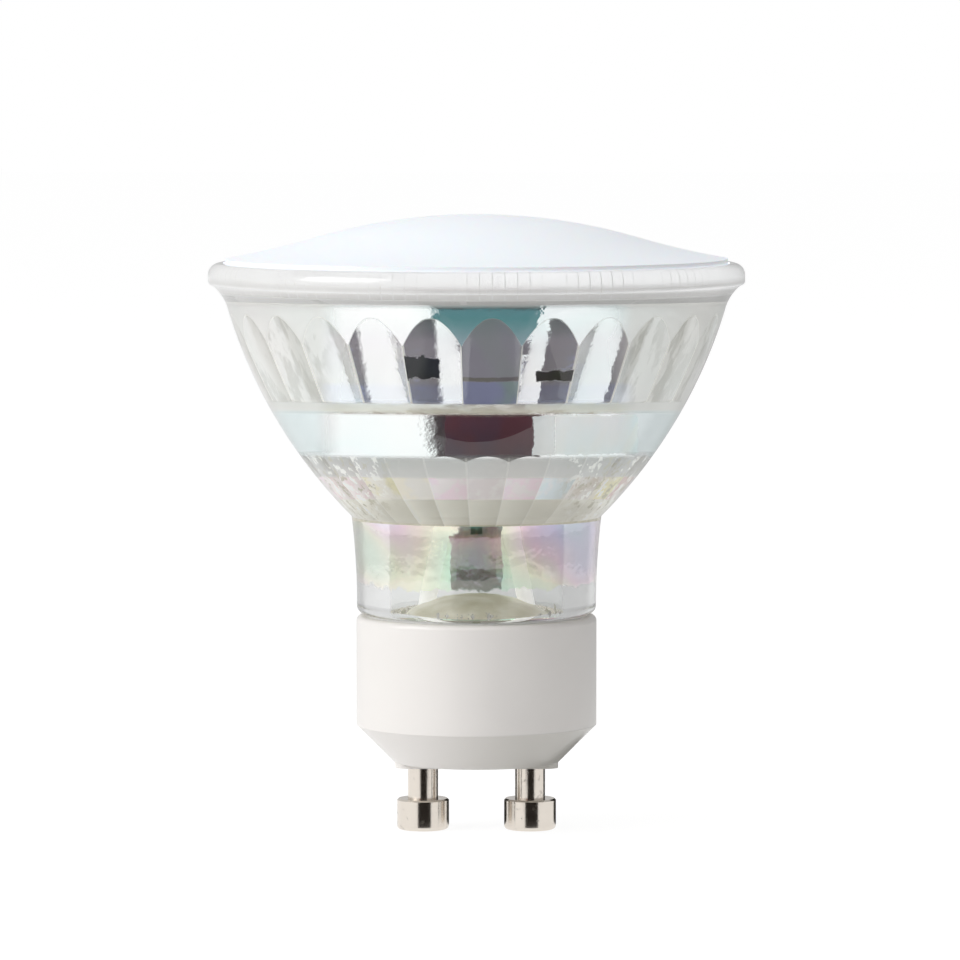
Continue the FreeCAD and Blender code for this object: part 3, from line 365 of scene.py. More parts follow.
def bowl_film(sizes):
    """The mirror film inside the bowl: part mirror, part faint haze that glows with painted light, whose
    colour changes with height and from facet to facet, partly the film's tint and partly painted reflection,
    with painted highlights along the flutes' edges, painted reflection of grey surroundings on the far
    sides, ragged painted reflections at the front and painted glints on the facets."""
    material, tree = new_material("dichroic film, bowl")
    height, aside = tree.along("Z"), tree.along("X").size()
    chance, column, across = film_cell(tree, height, sizes)
    below = tree.add("ShaderNodeAttribute", {"attribute_name": "below_arch"}, out="Fac")
    fluted = below.smooth(0.0, 0.03) * height.smooth(FLUTE_FOOT - 0.05, FLUTE_FOOT + 0.05)
    faceted = 1.0 - height.smooth(FACET_ROWS[2] - 0.2, FACET_ROWS[2])
    second_row = between(height, *FACET_ROWS[:2], 0.05)
    ragged = height + (tree.noise(1100.0, 3.0, (1.0, 1.0, 2.0), 0.7) - 0.5) * 0.4
    # painted reflection: each facet gets its own grey, and in the second row its own tint, as if it mirrored
    # its own patch of the surroundings
    facet_reflection_grey = tree.mix(chance, (0.76, 0.75, 0.71, 1), (1, 1, 1, 1))
    patches = tree.noise(420.0, 3.0, (1.0, 1.0, 0.6), 0.7).smooth(0.40, 0.60) * 0.75 + 0.25
    shade = tree.mix(second_row * patches, facet_reflection_grey, tree.ramp(chance, PAINTED_FACET_REFLECTIONS))
    facet_painted_haze = tree.mix(1.0, tree.bands(height, HAZE_AND_PAINTED_REFLECTION), shade, "MULTIPLY")
    # painted shade: each facet darkens across its width, as though lit from one side
    facet_painted_haze = tree.mix(across * chance * 0.7, facet_painted_haze, (0.50, 0.48, 0.42, 1), "MULTIPLY")
    haze_and_painted_light = tree.mix(faceted, tree.bands(ragged, HAZE_AND_PAINTED_REFLECTION), facet_painted_haze)
    # painted highlight along the flutes' and facets' edges and under the arches, which also thins the mirror
    # there
    edge = (across - 0.5).size().smooth(*EDGE_HIGHLIGHT_SHARE) * (fluted + faceted * 0.25)
    edge = edge.larger(between(below, 0.0, ARCH_HIGHLIGHT, 0.03) * 0.7)
    # painted reflection on the far sides: grey haze with dark vertical streaks in the flutes, and a painted
    # shade across each flute
    above = height.smooth(FACET_ROWS[2], FACET_ROWS[2] + 0.4)
    far = aside.smooth(*FAR_REFLECTION_SIDE) * above
    far_reflection_tone = tree.mix(height.smooth(*BAND_TOP), (0.72, 0.84, 0.86, 1), (0.84, 0.83, 0.79, 1))
    painted_streaks = tree.noise(700.0, 3.0, (1.0, 1.0, 0.05), 0.6).smooth(0.45, 0.60) * fluted
    far_reflection_tone = tree.mix(painted_streaks * 0.8, far_reflection_tone, (0.52, 0.51, 0.46, 1))
    far_reflection_tone = tree.mix((across - 0.35).smooth(0.0, 0.6) * fluted * 0.5, far_reflection_tone, (0.60, 0.59, 0.55, 1))
    haze_and_painted_light = tree.mix(far, haze_and_painted_light, far_reflection_tone)
    haze_and_painted_light = tree.mix(edge, haze_and_painted_light, EDGE_HIGHLIGHT_TONE)
    rough = tree.noise(800.0, 4.0, (1.0, 1.0, 1.0), 0.7) - 0.5
    facing = tree.along("Y").math("LESS_THAN", 0.0)
    streaks = tree.noise(300.0, 2.0, (1.0, 1.0, 0.1)).smooth(0.4, 0.6)
    painted_over = tree.value(0.0)
    # painted reflections at the front, each one streaked and taking the place of the mirror where it lies
    for foot, top, left, right, part, tone, raggedness, flute in PAINTED_REFLECTIONS:
        reflection_patch = (between(height + rough * raggedness, foot, top, 0.06) * facing * part
                * between(tree.along("X") + rough * raggedness, left, right, 0.08))
        if flute is not None:
            reflection_patch = reflection_patch * fluted * column.math("COMPARE", flute, 0.5)
        shaded = tree.mix(streaks * 0.5, rgba(tone), rgba((tone[1], tone[2], tone[0]), 0.9))
        haze_and_painted_light = tree.mix(reflection_patch, haze_and_painted_light, shaded)
        painted_over = painted_over.larger(reflection_patch)
    # painted glints on the facets' sides: dark specks and bright specks
    grains = tree.noise(1000.0, 3.0, (1.0, 1.0, 0.5), 0.7)
    painted_glints = faceted * aside.smooth(*GLINT_SIDE)
    haze_and_painted_light = tree.mix(grains.smooth(0.56, 0.62) * painted_glints * 0.7, haze_and_painted_light, (0.36, 0.33, 0.20, 1))
    haze_and_painted_light = tree.mix((0.44 - grains).smooth(0.0, 0.05) * painted_glints * 0.8, haze_and_painted_light, (1, 1, 0.94, 1))
    share = tree.bands(height, [(at, (part,) * 3) for at, part in FILM_MIRROR])
    share = share * (1.0 - edge * 0.75) * (1.0 - far * 0.62) * (1.0 - painted_over)
    tint = tree.ramp(tree.noise(60.0, 1.0), [
        (0.30, (1.00, 0.98, 0.99)), (0.42, (1.00, 1.00, 0.99)), (0.55, (0.92, 0.99, 0.99)),
        (0.68, (0.98, 0.97, 1.0))])
    pits = tree.noise(1600.0, 2.0)
    waves = tree.noise(260.0, 1.0)
    normal = tree.bump(pits * 0.25 + waves, 0.2, 0.0003)
    mirror = tree.shader(Base_Color=tint, Metallic=1.0, Roughness=0.05, Normal=normal)
    # the haze glows with painted light: it gives off its own colour at a quarter strength
    haze = tree.shader(Base_Color=haze_and_painted_light, Emission_Color=haze_and_painted_light, Emission_Strength=0.25,
                       Roughness=0.45, Normal=normal)
    tree.finish(tree.blend(share, haze, mirror))
    return material


# Heights in mm of the film's ragged foot in the neck, of the top of the smear below it, and of the middle
# of its pastels
NECK_FILM_FOOT = 23.2
SMEAR_TOP = 20.6
PASTEL_MIDDLE = 26.0


def neck_film(tone):
    """The neck's inside: a thin pastel end of the film, clear glass below its ragged edge, and a smear
    of potting compound where that meets the wall."""
    material, tree = new_material("dichroic film, neck")
    height = tree.along("Z")
    ragged = height + (tree.noise(500.0, 4.0, (1.0, 1.0, 0.7), 0.65) - 0.5) * 2.2
    wander = tree.noise(75.0, 1.0, (1.0, 1.0, 1.3))
    pastel = tree.ramp(wander + (height - PASTEL_MIDDLE) / 28.0, [
        (0.22, (0.58, 0.92, 1.00)), (0.36, (0.72, 0.95, 0.78)), (0.46, (0.97, 0.95, 0.76)),
        (0.55, (1.00, 0.76, 0.88)), (0.68, (0.78, 0.76, 1.00)), (0.82, (0.60, 0.92, 1.00))])
    normal = tree.bump(tree.noise(600.0, 2.0), 0.06, 0.0004)
    filmed = ragged.smooth(NECK_FILM_FOOT - 0.15, NECK_FILM_FOOT + 0.15)
    clear = tree.shader(Base_Color=tree.mix(filmed, rgba(tone), pastel), Roughness=0.02, IOR=1.5,
                        Transmission_Weight=1.0, Normal=normal)
    mirror = tree.shader(Base_Color=pastel, Metallic=1.0, Roughness=0.04, Normal=normal)
    grains = tree.noise(1500.0, 3.0, (1.0, 1.0, 1.0), 0.6)
    smeared = (grains + (SMEAR_TOP - height) / 3.0).smooth(0.50, 0.56)
    smear = tree.shader(Base_Color=tree.mix(grains.smooth(0.4, 0.6), (0.76, 0.74, 0.66, 1),
                                            (0.95, 0.94, 0.90, 1)), Roughness=0.5)
    tree.finish(tree.blend(smeared, tree.blend(filmed * 0.66, clear, mirror), smear))
    return material


def milky_backing():
    """The lip behind the rim's bead, coated by the sealant: milky white, greyer towards the ledge as painted
    shade. It glows with painted light that grows with height and to the right, and the ledge glows on its
    own."""
    material, tree = new_material("milky backing")
    cloud = tree.noise(240.0, 2.0, (1.0, 1.0, 3.0))
    height, ledge = tree.along("Z"), foot_of("led_board")
    # painted shade: greyer towards the ledge
    tone = tree.mix((height - ledge) / 2.4 * 0.8 + cloud * 0.3, (0.74, 0.72, 0.69, 1), (0.97, 0.97, 0.98, 1))
    right = tree.along("X").smooth(-24.0, 10.0)
    # painted light, growing with height and to the right, and on the ledge
    painted_glow = (height.smooth(ledge + 0.5, ledge + 1.5) * 0.85 + 0.12) * (right * 0.60 + 0.40)
    painted_glow = painted_glow + (1.0 - height.smooth(ledge, ledge + 0.04)) * (0.55 - right * 0.25)
    tree.finish(tree.shader(Base_Color=tone, Roughness=0.45, Emission_Strength=0.50,
                            Emission_Color=tree.mix(painted_glow, (0, 0, 0, 1), (0.97, 0.98, 1.0, 1))))
    return material


def opal_plastic(tone):
    """Diffusing plastic: white, almost matt, with a faint moulding grain, and it glows faintly with painted
    light.
    """
    material, tree = new_material("opal plastic")
    grain = tree.noise(2600.0, 2.0)
    tree.finish(tree.shader(Base_Color=rgba(tone), Emission_Color=rgba(tone), Emission_Strength=0.07,
                            Roughness=0.5, Subsurface_Weight=0.25,
                            Subsurface_Scale=0.0012, Normal=tree.bump(grain, 0.05, 0.00005)))
    return material


# Heights and distances aside in mm over which the shade under the base's lower edge comes in, and its
# colour
SHADE_HEIGHT = (9.8, 10.1)
SHADE_SIDE = (-7.0, 7.0)
SHADE_TONE = (0.62, 0.60, 0.56, 1)


def white_glaze(tone):
    """Glazed ceramic-white base: satin, with a soft orange-peel, faint clouds of tone and a shade under
    its lower edge on the side away from the key lamp."""
    material, tree = new_material("white glaze")
    peel = tree.noise(1500.0, 2.0)
    cloud = tree.noise(55.0, 3.0)
    shade = tree.mix(cloud.smooth(0.35, 0.7), rgba(tone), rgba(tone, 0.965))
    under = (1.0 - tree.along("Z").smooth(*SHADE_HEIGHT)) * tree.along("X").smooth(*SHADE_SIDE)
    shade = tree.mix(under, shade, SHADE_TONE)
    tree.finish(tree.shader(Base_Color=shade, Roughness=0.34, Coat_Weight=0.15, Coat_Roughness=0.12,
                            Normal=tree.bump(peel, 0.08, 0.00008)))
    return material


def nickel_plate(tone):
    """Bright nickel plating with fine turning marks round each pin and a few dull specks."""
    material, tree = new_material("nickel plate")
    rings = tree.noise(300.0, 3.0, (0.2, 0.2, 16.0))
    specks = tree.noise(1400.0, 2.0).smooth(0.62, 0.72)
    shade = tree.mix(specks * 0.5, rgba(tone), rgba(tone, 0.5))
    tree.finish(tree.shader(Base_Color=shade, Metallic=1.0, Roughness=rings * 0.10 + 0.15 + specks * 0.1,
                            Normal=tree.bump(rings, 0.05, 0.0001)))
    return material


def potting_resin():
    """Olive-beige potting compound, cast with a slightly uneven satin top, and it glows with painted light.
    """
    material, tree = new_material("potting resin")
    mottle = tree.noise(300.0, 4.0)
    tone = tree.ramp(mottle, [(0.30, (0.50, 0.47, 0.33)), (0.5, (0.64, 0.61, 0.48)),
                              (0.70, (0.80, 0.78, 0.68))])
    tree.finish(tree.shader(Base_Color=tone, Emission_Color=tone, Emission_Strength=0.30, Roughness=0.32,
                            Normal=tree.bump(mottle, 0.2, 0.0003)))
    return material


def clear_silicone():
    """Milky sealing silicone with a few small trapped bubbles."""
    material, tree = new_material("silicone")
    bubbles = tree.noise(1600.0, 3.0)
    tone = tree.ramp(bubbles, [(0.28, (0.78, 0.76, 0.72)), (0.42, (0.93, 0.93, 0.92)),
                               (0.62, (0.96, 0.96, 0.96))])
    tree.finish(tree.shader(Base_Color=tone, Roughness=0.4, Normal=tree.bump(bubbles, 0.15, 0.0001)))
    return material


def board_laminate():
    """Green solder mask over woven laminate, with the copper tracks showing as a darker relief."""
    material, tree = new_material("board laminate")
    tracks = tree.add("ShaderNodeTexBrick", {"offset": 0.35}, {
        "Vector": tree.place(), "Scale": 340.0, "Mortar Size": 0.035}, out="Fac")
    weave = tree.noise(2400.0, 1.0)
    tone = tree.mix(tracks, (0.16, 0.19, 0.07, 1), (0.26, 0.28, 0.11, 1))
    tree.finish(tree.shader(Base_Color=tone, Roughness=0.38,
                            Normal=tree.bump(tracks + weave * 0.3, 0.2, 0.0001)))
    return material


def plain_finish(name, tone, roughness, metallic=0.0, grain=1200.0, depth=0.10, painted_glow=0.0):
    """A one-colour finish with fine grain that shifts its tone and roughness a little. It glows with painted
    light that stands for the light that thick glass and its film pass on to it."""
    material, tree = new_material(name)
    speckle = tree.noise(grain, 3.0)
    shade = tree.mix(speckle, rgba(tone), rgba(tone, 0.82))
    tree.finish(tree.shader(Base_Color=shade, Emission_Color=shade, Emission_Strength=painted_glow,
                            Roughness=speckle * 0.15 + (roughness - 0.07),
                            Metallic=metallic, Normal=tree.bump(speckle, depth, 0.0001)))
    return material


def copper_winding():
    """Enamelled copper wire wound round the drum: close turns along the drum's axis."""
    material, tree = new_material("copper wire")
    turns = tree.add("ShaderNodeTexWave", {"wave_type": "BANDS", "bands_direction": "X"},
                     {"Vector": tree.place(), "Scale": 1100.0, "Distortion": 0.3}, out="Fac")
    tone = tree.mix(turns, (0.36, 0.12, 0.04, 1), (0.75, 0.34, 0.14, 1))
    tree.finish(tree.shader(Base_Color=tone, Metallic=0.8, Roughness=0.3,
                            Normal=tree.bump(turns, 0.6, 0.0002)))
    return material


def led_face():
    """Light-emitting package: white body with a yellow phosphor window."""
    material, tree = new_material("led body")
    depth = (top_of("led_packages") - 0.05) - tree.along("Z")
    tone = tree.mix(depth.smooth(0.0, 0.05), (0.88, 0.88, 0.86, 1), (0.90, 0.70, 0.18, 1))
    tree.finish(tree.shader(Base_Color=tone, Roughness=tree.noise(3000.0) * 0.2 + 0.35))
    return material


def arc(start, end, radius, side, steps):
    """Points after start and up to end on the arc of that radius, with its centre left or right of the
    way there: centre = middle of the chord + its normal times the apothem."""
    start, end = np.array(start), np.array(end)
    chord = end - start
    length = np.hypot(*chord)
    normal = np.array((-chord[1], chord[0])) / length
    apothem = math.sqrt(radius ** 2 - length ** 2 / 4)
    centre = (start + end) / 2 + normal * (apothem if side == "left" else -apothem)
    first = math.atan2(*(start - centre)[::-1])
    turn = 2 * math.asin(length / 2 / radius) * (1 if side == "left" else -1)
    angles = first + turn * np.arange(1, steps + 1) / steps
    return centre + radius * np.stack((np.cos(angles), np.sin(angles)), axis=1)


def straight(start, end, steps):
    """Points after start and up to end, evenly spaced on the line."""
    share = (np.arange(1, steps + 1) / steps)[:, None]
    return np.array(start) * (1 - share) + np.array(end) * share


def outer_wall(sizes):
    """Outline of the glass from its foot up over the rim and down the lip to the ledge, as points of
    radius and height, and whether each point is a sharp edge."""
    foot, rim_top = foot_of("glass_reflector"), top_of("glass_reflector")
    rim = reach_of("glass_reflector")
    shoulder, ledge = top_of("base_adhesive"), foot_of("led_board")
    spigot = reach_of("base_housing") - sizes.spigot_inset
    neck = reach_of("base_housing") - sizes.neck_inset
    lip = reach_of("rim_sealant")
    edge = sizes.neck_edge
    neck_top = shoulder + sizes.neck_height
    bowl_top = neck_top + sizes.bowl_height
    cove_top = bowl_top + sizes.cove_height
    bead_foot = cove_top + sizes.bead_low
    bowl = (neck + sizes.neck_flare, neck_top), (rim - sizes.rim_undercut, bowl_top)
    runs = [
        (straight((spigot, foot - MM), (spigot, shoulder), 6), True),
        (straight((spigot, shoulder), (neck - edge, shoulder), 1), False),
        (arc((neck - edge, shoulder), (neck, shoulder + edge), edge, "left", 10), False),
        (arc((neck, shoulder + edge), bowl[0], sizes.neck_arc, "right", 10), True),
        (arc(*bowl, sizes.bowl_arc, "left", 36), True),
        (arc(bowl[1], (rim - sizes.bead_low, cove_top), sizes.cove_arc, "right", 12), True),
        (arc((rim - sizes.bead_low, cove_top), (rim, bead_foot), sizes.bead_low, "left", 8), False),
        (straight((rim, bead_foot), (rim, rim_top - sizes.bead_top), 1), False),
        (arc((rim, rim_top - sizes.bead_top), (rim - sizes.bead_top, rim_top), sizes.bead_top, "left",
             12), False),
        (straight((rim - sizes.bead_top, rim_top), (lip, rim_top), 1), True),
        (straight((lip, rim_top), (lip, ledge), LIP_ROWS - 1), True),
    ]
    points = np.concatenate([run for run, _ in runs])
    sharp = np.concatenate([np.arange(1, len(run) + 1) == (len(run) if edge_ends else 0)
                            for run, edge_ends in runs])
    return points, sharp


def crossing(low, high, gap):
    """Height in each column at which a rising gap passes zero, by halving the span 40 times."""
    for _ in range(40):
        middle = (low + high) / 2
        above = gap(middle) > 0
        low, high = np.where(above, low, middle), np.where(above, middle, high)
    return low


def inner_wall(sizes, angle):
    """Rows of the glass's inside from the ledge down to its foot, in each column's angle from the middle
    of its flute: radius and height (rows, columns), the sharp rows, the rows whose flute edges are sharp,
    and the row where the film thins out.

    The wall is the least of three: the turned outline; on the flutes the near side of a cylinder that
    leans with the bowl, the smaller root of a quadratic in the radius; on the facets a flat, whose
    distance over the angle's cosine is its radius. The rows follow the edges between them.
    """
    ledge, lip, bore = foot_of("led_board"), reach_of("rim_sealant"), reach_of("neck_potting")
    neck_top = top_of("base_adhesive") + sizes.neck_height
    foot_radius = reach_of("base_housing") - sizes.neck_inset + sizes.neck_flare
    top_radius = reach_of("glass_reflector") - sizes.rim_undercut
    chord = math.hypot(top_radius - foot_radius, sizes.bowl_height)
    apothem = math.sqrt(sizes.bowl_arc ** 2 - chord ** 2 / 4)
    centre_r = (top_radius + foot_radius) / 2 - apothem * sizes.bowl_height / chord
    centre_z = neck_top + sizes.bowl_height / 2 + apothem * (top_radius - foot_radius) / chord

    def bowl_inside(z):
        return centre_r + math.sqrt((sizes.bowl_arc - sizes.wall) ** 2 - (z - centre_z) ** 2)

    ledge_radius = lip - sizes.ledge_width
    flute_top = ledge - sizes.band_height
    flute_top_radius = ledge_radius - sizes.band_taper
    flute_foot = flute_top - sizes.flute_height
    flute_foot_radius = bowl_inside(flute_foot)
    relief_top = flute_top - sizes.relief_drop
    relief_radius = flute_top_radius - sizes.band_taper * sizes.relief_drop / sizes.band_height
    ring_foot = flute_foot - sizes.ring_height
    facet_foot = neck_top + sizes.throat_rise
    facet_third = facet_foot + sizes.facet_last
    facet_second = facet_third + sizes.facet_row
    facet_top = facet_second + sizes.facet_row
    throat_foot = facet_foot - sizes.throat_height
    ring_radius = bowl_inside(ring_foot) - sizes.ring_inset
    facet_top_radius = bowl_inside(facet_top) + sizes.mirror_swell
    cone = (ring_radius - facet_top_radius) / (ring_foot - facet_top)
    facet_foot_radius = bowl_inside(facet_foot)
    turned = np.array([
        (facet_top_radius - cone * (facet_top - facet_foot), facet_foot), (ring_radius, ring_foot),
        (flute_foot_radius, flute_foot), (flute_foot_radius + sizes.flute_relief, flute_foot + MM),
        (relief_radius, relief_top), (ledge_radius, ledge)])
    flats = np.array([
        (facet_foot_radius, facet_foot), (bowl_inside(facet_third) + sizes.third_swell, facet_third),
        (bowl_inside(facet_second) + sizes.second_swell, facet_second), (facet_top_radius, facet_top)])
    slope = (flute_top_radius - flute_foot_radius) / sizes.flute_height
    lean = 1 / math.sqrt(1 + slope ** 2)

    def turned_at(z):
        return np.interp(z, turned[:, 1], turned[:, 0])

    def flute_at(z):
        centre = flute_foot_radius + slope * (z - flute_foot) + sizes.flute_section / lean
        square = (lean * np.cos(angle)) ** 2 + np.sin(angle) ** 2
        half = lean ** 2 * centre * np.cos(angle)
        rest = (lean * centre) ** 2 - sizes.flute_section ** 2
        return (half - np.sqrt(half ** 2 - square * rest)) / square

    def flat_at(z):
        return np.interp(z, flats[:, 1], flats[:, 0]) / np.cos(angle)

    level = np.zeros_like(angle)
    arch = crossing(level + relief_top, level + flute_top, lambda z: flute_at(z) - turned_at(z))
    scallop = crossing(level + facet_second, level + facet_top, lambda z: flat_at(z) - turned_at(z))
    # Each stretch: its upper and lower edge, its rows, and the wall's radius in it
    stretches = [
        (level + ledge, arch, BAND_ROWS, turned_at),
        (arch, level + flute_foot + MM, FLUTE_ROWS, flute_at),
        (level + flute_foot + MM, level + flute_foot, 1, turned_at),
        (level + flute_foot, level + ring_foot, 3, turned_at),
        (level + ring_foot, scallop, 8, turned_at),
        (scallop, level + facet_second, 4, flat_at),
        (level + facet_second, level + facet_third, 4, flat_at),
        (level + facet_third, level + facet_foot, 4, flat_at),
    ]
    heights, radii, sharp = [level + ledge], [level + ledge_radius], [True]
    for upper, lower, count, radius_at in stretches:
        for step in range(1, count + 1):
            height = upper + (lower - upper) * step / count
            heights.append(height)
            radii.append(radius_at(height))
            sharp.append(step == count)
    faceted = len(heights)
    throat = arc((facet_foot_radius, facet_foot), (bore, throat_foot), sizes.throat_arc, "left", 8)
    plain = np.concatenate(([(facet_foot_radius, facet_foot)], throat,
                            straight((bore, throat_foot), (bore, foot_of("glass_reflector")), 12)))
    heights += [level + z for z in plain[:, 1]]
    radii += [level + r for r in plain[:, 0]]
    sharp += [True] + [False] * (len(plain) - 2) + [True]
    return np.array(radii), np.array(heights), np.array(sharp), faceted, faceted + len(throat)


def ring_mesh(name, radius, height, turn):
    """Closed ring from a grid of radius and height (rows, columns), turned round the axis.

    Point (i, j) = (radius cos a, radius sin a, height) with a = turn[j]; the last row joins the first and
    the last column joins the first, so the mesh has no edge.
    """
    rows, columns = radius.shape
    points = np.stack((radius * np.cos(turn), radius * np.sin(turn), height), axis=2) * MM
    row, column = np.meshgrid(np.arange(rows), np.arange(columns), indexing="ij")
    next_row, next_column = (row + 1) % rows, (column + 1) % columns
    quads = np.stack((row * columns + column, row * columns + next_column,
                      next_row * columns + next_column, next_row * columns + column), axis=2)
    mesh = bpy.data.meshes.new(name)
    mesh.from_pydata(points.reshape(-1, 3).tolist(), [], quads.reshape(-1, 4).tolist())
    mesh.polygons.foreach_set("use_smooth", np.ones(rows * columns, dtype=bool))
    return mesh


def mark_sharp(mesh, columns, sharp_rows, first, last, per_flute):
    """Marks the edges along the sharp rows, and between flutes and facets from the first to the last row:
    a point's number is its row times the columns plus its column."""
    ends = np.empty(len(mesh.edges) * 2, dtype=np.int32)
    mesh.edges.foreach_get("vertices", ends)
    row, column = np.divmod(ends.reshape(-1, 2), columns)
    along_row = row[:, 0] == row[:, 1]
    on_border = (column[:, 0] == column[:, 1]) & (column[:, 0] % per_flute == per_flute // 2)
    fluted = (row.min(axis=1) >= first) & (row.max(axis=1) < last)
    sharp = (along_row & sharp_rows[row[:, 0]]) | (on_border & fluted)
    mesh.attributes.new("sharp_edge", "BOOLEAN", "EDGE").data.foreach_set("value", sharp)


class BULB_OT_reflector(bpy.types.Operator):
    """Pressed glass reflector with flutes, facets and the mirror film on its inside."""
    bl_idname = "bulb.reflector"
    bl_label = "Glass reflector"

    def execute(self, context):
        sizes = context.scene.bulb_glass
        glass_tone = context.scene.bulb_colours.glass
        count = sizes.flute_count * STEPS_PER_FLUTE
        place = (np.arange(count) / STEPS_PER_FLUTE + 0.5) % 1.0 - 0.5
        flute_angle = place * 2 * math.pi / sizes.flute_count
        turn = np.arange(count) / count * 2 * math.pi + math.radians(sizes.flute_turn - 90)
        outer, outer_sharp = outer_wall(sizes)
        radii, heights, inner_sharp, faceted, neck_row = inner_wall(sizes, flute_angle)
        radius = np.concatenate((np.repeat(outer[:, :1], count, axis=1), radii))
        height = np.concatenate((np.repeat(outer[:, 1:], count, axis=1), heights))
        mesh = ring_mesh("glass_with_film", radius, height, turn)
        for material in (clear_glass(glass_tone), bowl_film(sizes), neck_film(glass_tone), milky_backing()):
            mesh.materials.append(material)
        clear, bowl, neck, lip = range(4)
        outside = len(outer)
        row = np.arange(len(radius))
        finish = np.select([row == len(radius) - 1, row >= outside + neck_row, row >= outside,
                            row >= outside - LIP_ROWS], [clear, neck, bowl, lip], clear)
        mesh.polygons.foreach_set("material_index", np.repeat(finish, count).astype(np.int32))
        mark_sharp(mesh, count, np.concatenate((outer_sharp, inner_sharp)),
                   outside + BAND_ROWS, outside + faceted, STEPS_PER_FLUTE)
        below_arch = np.where(row[:, None] >= outside, heights[BAND_ROWS] - height, -1.0)
        mesh.attributes.new("below_arch", "FLOAT", "POINT").data.foreach_set("value", below_arch.ravel())
        mesh.update()
        piece = bpy.data.objects.new("glass_with_film", mesh)
        context.scene.collection.objects.link(piece)
        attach(piece, "root")
        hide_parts("glass_reflector")
        return {"FINISHED"}


class BULB_OT_finishes(bpy.types.Operator):
    """Finishes of the pieces that keep their packed form."""
    bl_idname = "bulb.finishes"
    bl_label = "Finishes"

    def execute(self, context):
        colours = context.scene.bulb_colours
        finishes = {
            opal_plastic(colours.opal): ["dome_cover"],
            white_glaze(colours.glaze): ["base_housing"],
            nickel_plate(colours.nickel): ["contact_pin_left", "contact_pin_right"],
            potting_resin(): ["neck_potting"],
            clear_silicone(): ["rim_sealant", "base_adhesive"],
            board_laminate(): ["driver_board"],
            plain_finish("white mask", (0.86, 0.86, 0.84), 0.45): ["led_board"],
            led_face(): ["led_packages"],
            plain_finish("aluminium can", (0.76, 0.77, 0.79), 0.28, 1.0, 700.0, 0.05):
                ["input_capacitor", "output_capacitor"],
            plain_finish("ferrite", (0.07, 0.07, 0.075), 0.6): ["inductor_core"],
            copper_winding(): ["inductor_winding"],
            plain_finish("resistor coat", (0.36, 0.42, 0.36), 0.4): ["fusible_resistor"],
            plain_finish("black epoxy", (0.035, 0.035, 0.038), 0.5):
                ["driver_chip", "bridge_rectifier", "flyback_diode"],
            plain_finish("chip ceramic", (0.16, 0.14, 0.13), 0.4): ["chip_resistors"],
            plain_finish("tinned wire", (0.80, 0.79, 0.77), 0.25, 1.0):
                ["pin_lead_left", "pin_lead_right", "led_pin_front", "led_pin_rear"],
            # the sleeves glow with painted light
            plain_finish("white sleeve", (0.95, 0.95, 0.94), 0.5, painted_glow=0.5):
                ["lead_sleeve_left", "lead_sleeve_right"],
            plain_finish("solder", (0.70, 0.70, 0.71), 0.22, 1.0): ["solder_joints"],
        }
        for material, nodes in finishes.items():
            for node in nodes:
                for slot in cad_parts[node].material_slots:
                    slot.material = material
        return {"FINISHED"}


def stage_sheet(name, corners, faces, material):
    """A flat sheet for the stage."""
    mesh = bpy.data.meshes.new(name)
    mesh.from_pydata(corners, [], faces)
    mesh.materials.append(material)
    sheet = bpy.data.objects.new(name, mesh)
    bpy.context.scene.collection.objects.link(sheet)
    return sheet


def ray_kinds(tree):
    """1 on rays from the camera, and 1 on rays that come by glass or metal."""
    camera, glossy, through = (tree.add("ShaderNodeLightPath", out=name) for name in
                               ("Is Camera Ray", "Is Glossy Ray", "Is Transmission Ray"))
    return camera, glossy.larger(through)


# How much darker than the front the surroundings are in what the glass and the pins mirror: at the floor's
# and the sky's left and right, behind the bulb, and what is added behind it on the right
FLOOR_LEFT, FLOOR_RIGHT = 0.26, 0.40
SKY_LEFT, SKY_RIGHT = 0.32, 0.50
REAR, REAR_RIGHT = 0.30, 0.24
# The seen floor's own light, and its share beside that of the lamps
FLOOR_LEVEL, FLOOR_SHARE = 1.12, 0.8


def floor_finish():
    """Matt pale floor whose light is mostly its own where it is seen, so that it is white and keeps a
    faint shadow."""
    material, tree = new_material("studio floor")
    camera, mirrored = ray_kinds(tree)
    side = tree.along("X")
    shade = tree.mix(side.smooth(-5.0, 90.0) * (1.0 - camera), (0.94, 0.94, 0.94, 1), (0.50, 0.50, 0.50, 1))
    matt = tree.shader(Base_Color=shade, Roughness=0.85)
    behind = tree.along("Y").smooth(30.0, 160.0)
    darker = side.smooth(75.0, 240.0) * FLOOR_RIGHT + (-side).smooth(80.0, 260.0) * FLOOR_LEFT
    darker = darker * (1.0 - behind) + behind * (side.smooth(-90.0, 60.0) * REAR_RIGHT + REAR)
    level = FLOOR_LEVEL - darker * (1.0 - camera)
    white = tree.add("ShaderNodeEmission", inputs={"Color": (1, 1, 1, 1), "Strength": level})
    tree.finish(tree.blend(camera.larger(mirrored) * FLOOR_SHARE, matt, white))
    return material


def softbox(name, place, aim, width, height, level):
    """A rectangular lamp of even radiance, aimed at a point: power = radiance x pi x area."""
    light = bpy.data.lights.new(name, "AREA")
    light.shape = "RECTANGLE"
    light.size = width
    light.size_y = height
    light.energy = level * math.pi * width * height
    lamp = bpy.data.objects.new(name, light)
    lamp.location = place
    way = np.array(aim) - np.array(place)
    lamp.rotation_euler = (math.atan2(math.hypot(way[0], way[1]), -way[2]), 0,
                           math.atan2(way[0], -way[1]) + math.pi)
    bpy.context.scene.collection.objects.link(lamp)
    return lamp


# The dark cards are seen only by reflection. How far in front of the bulb's axis the largest upright one
# stands, in mm
FRONT_DISTANCE = 345.0
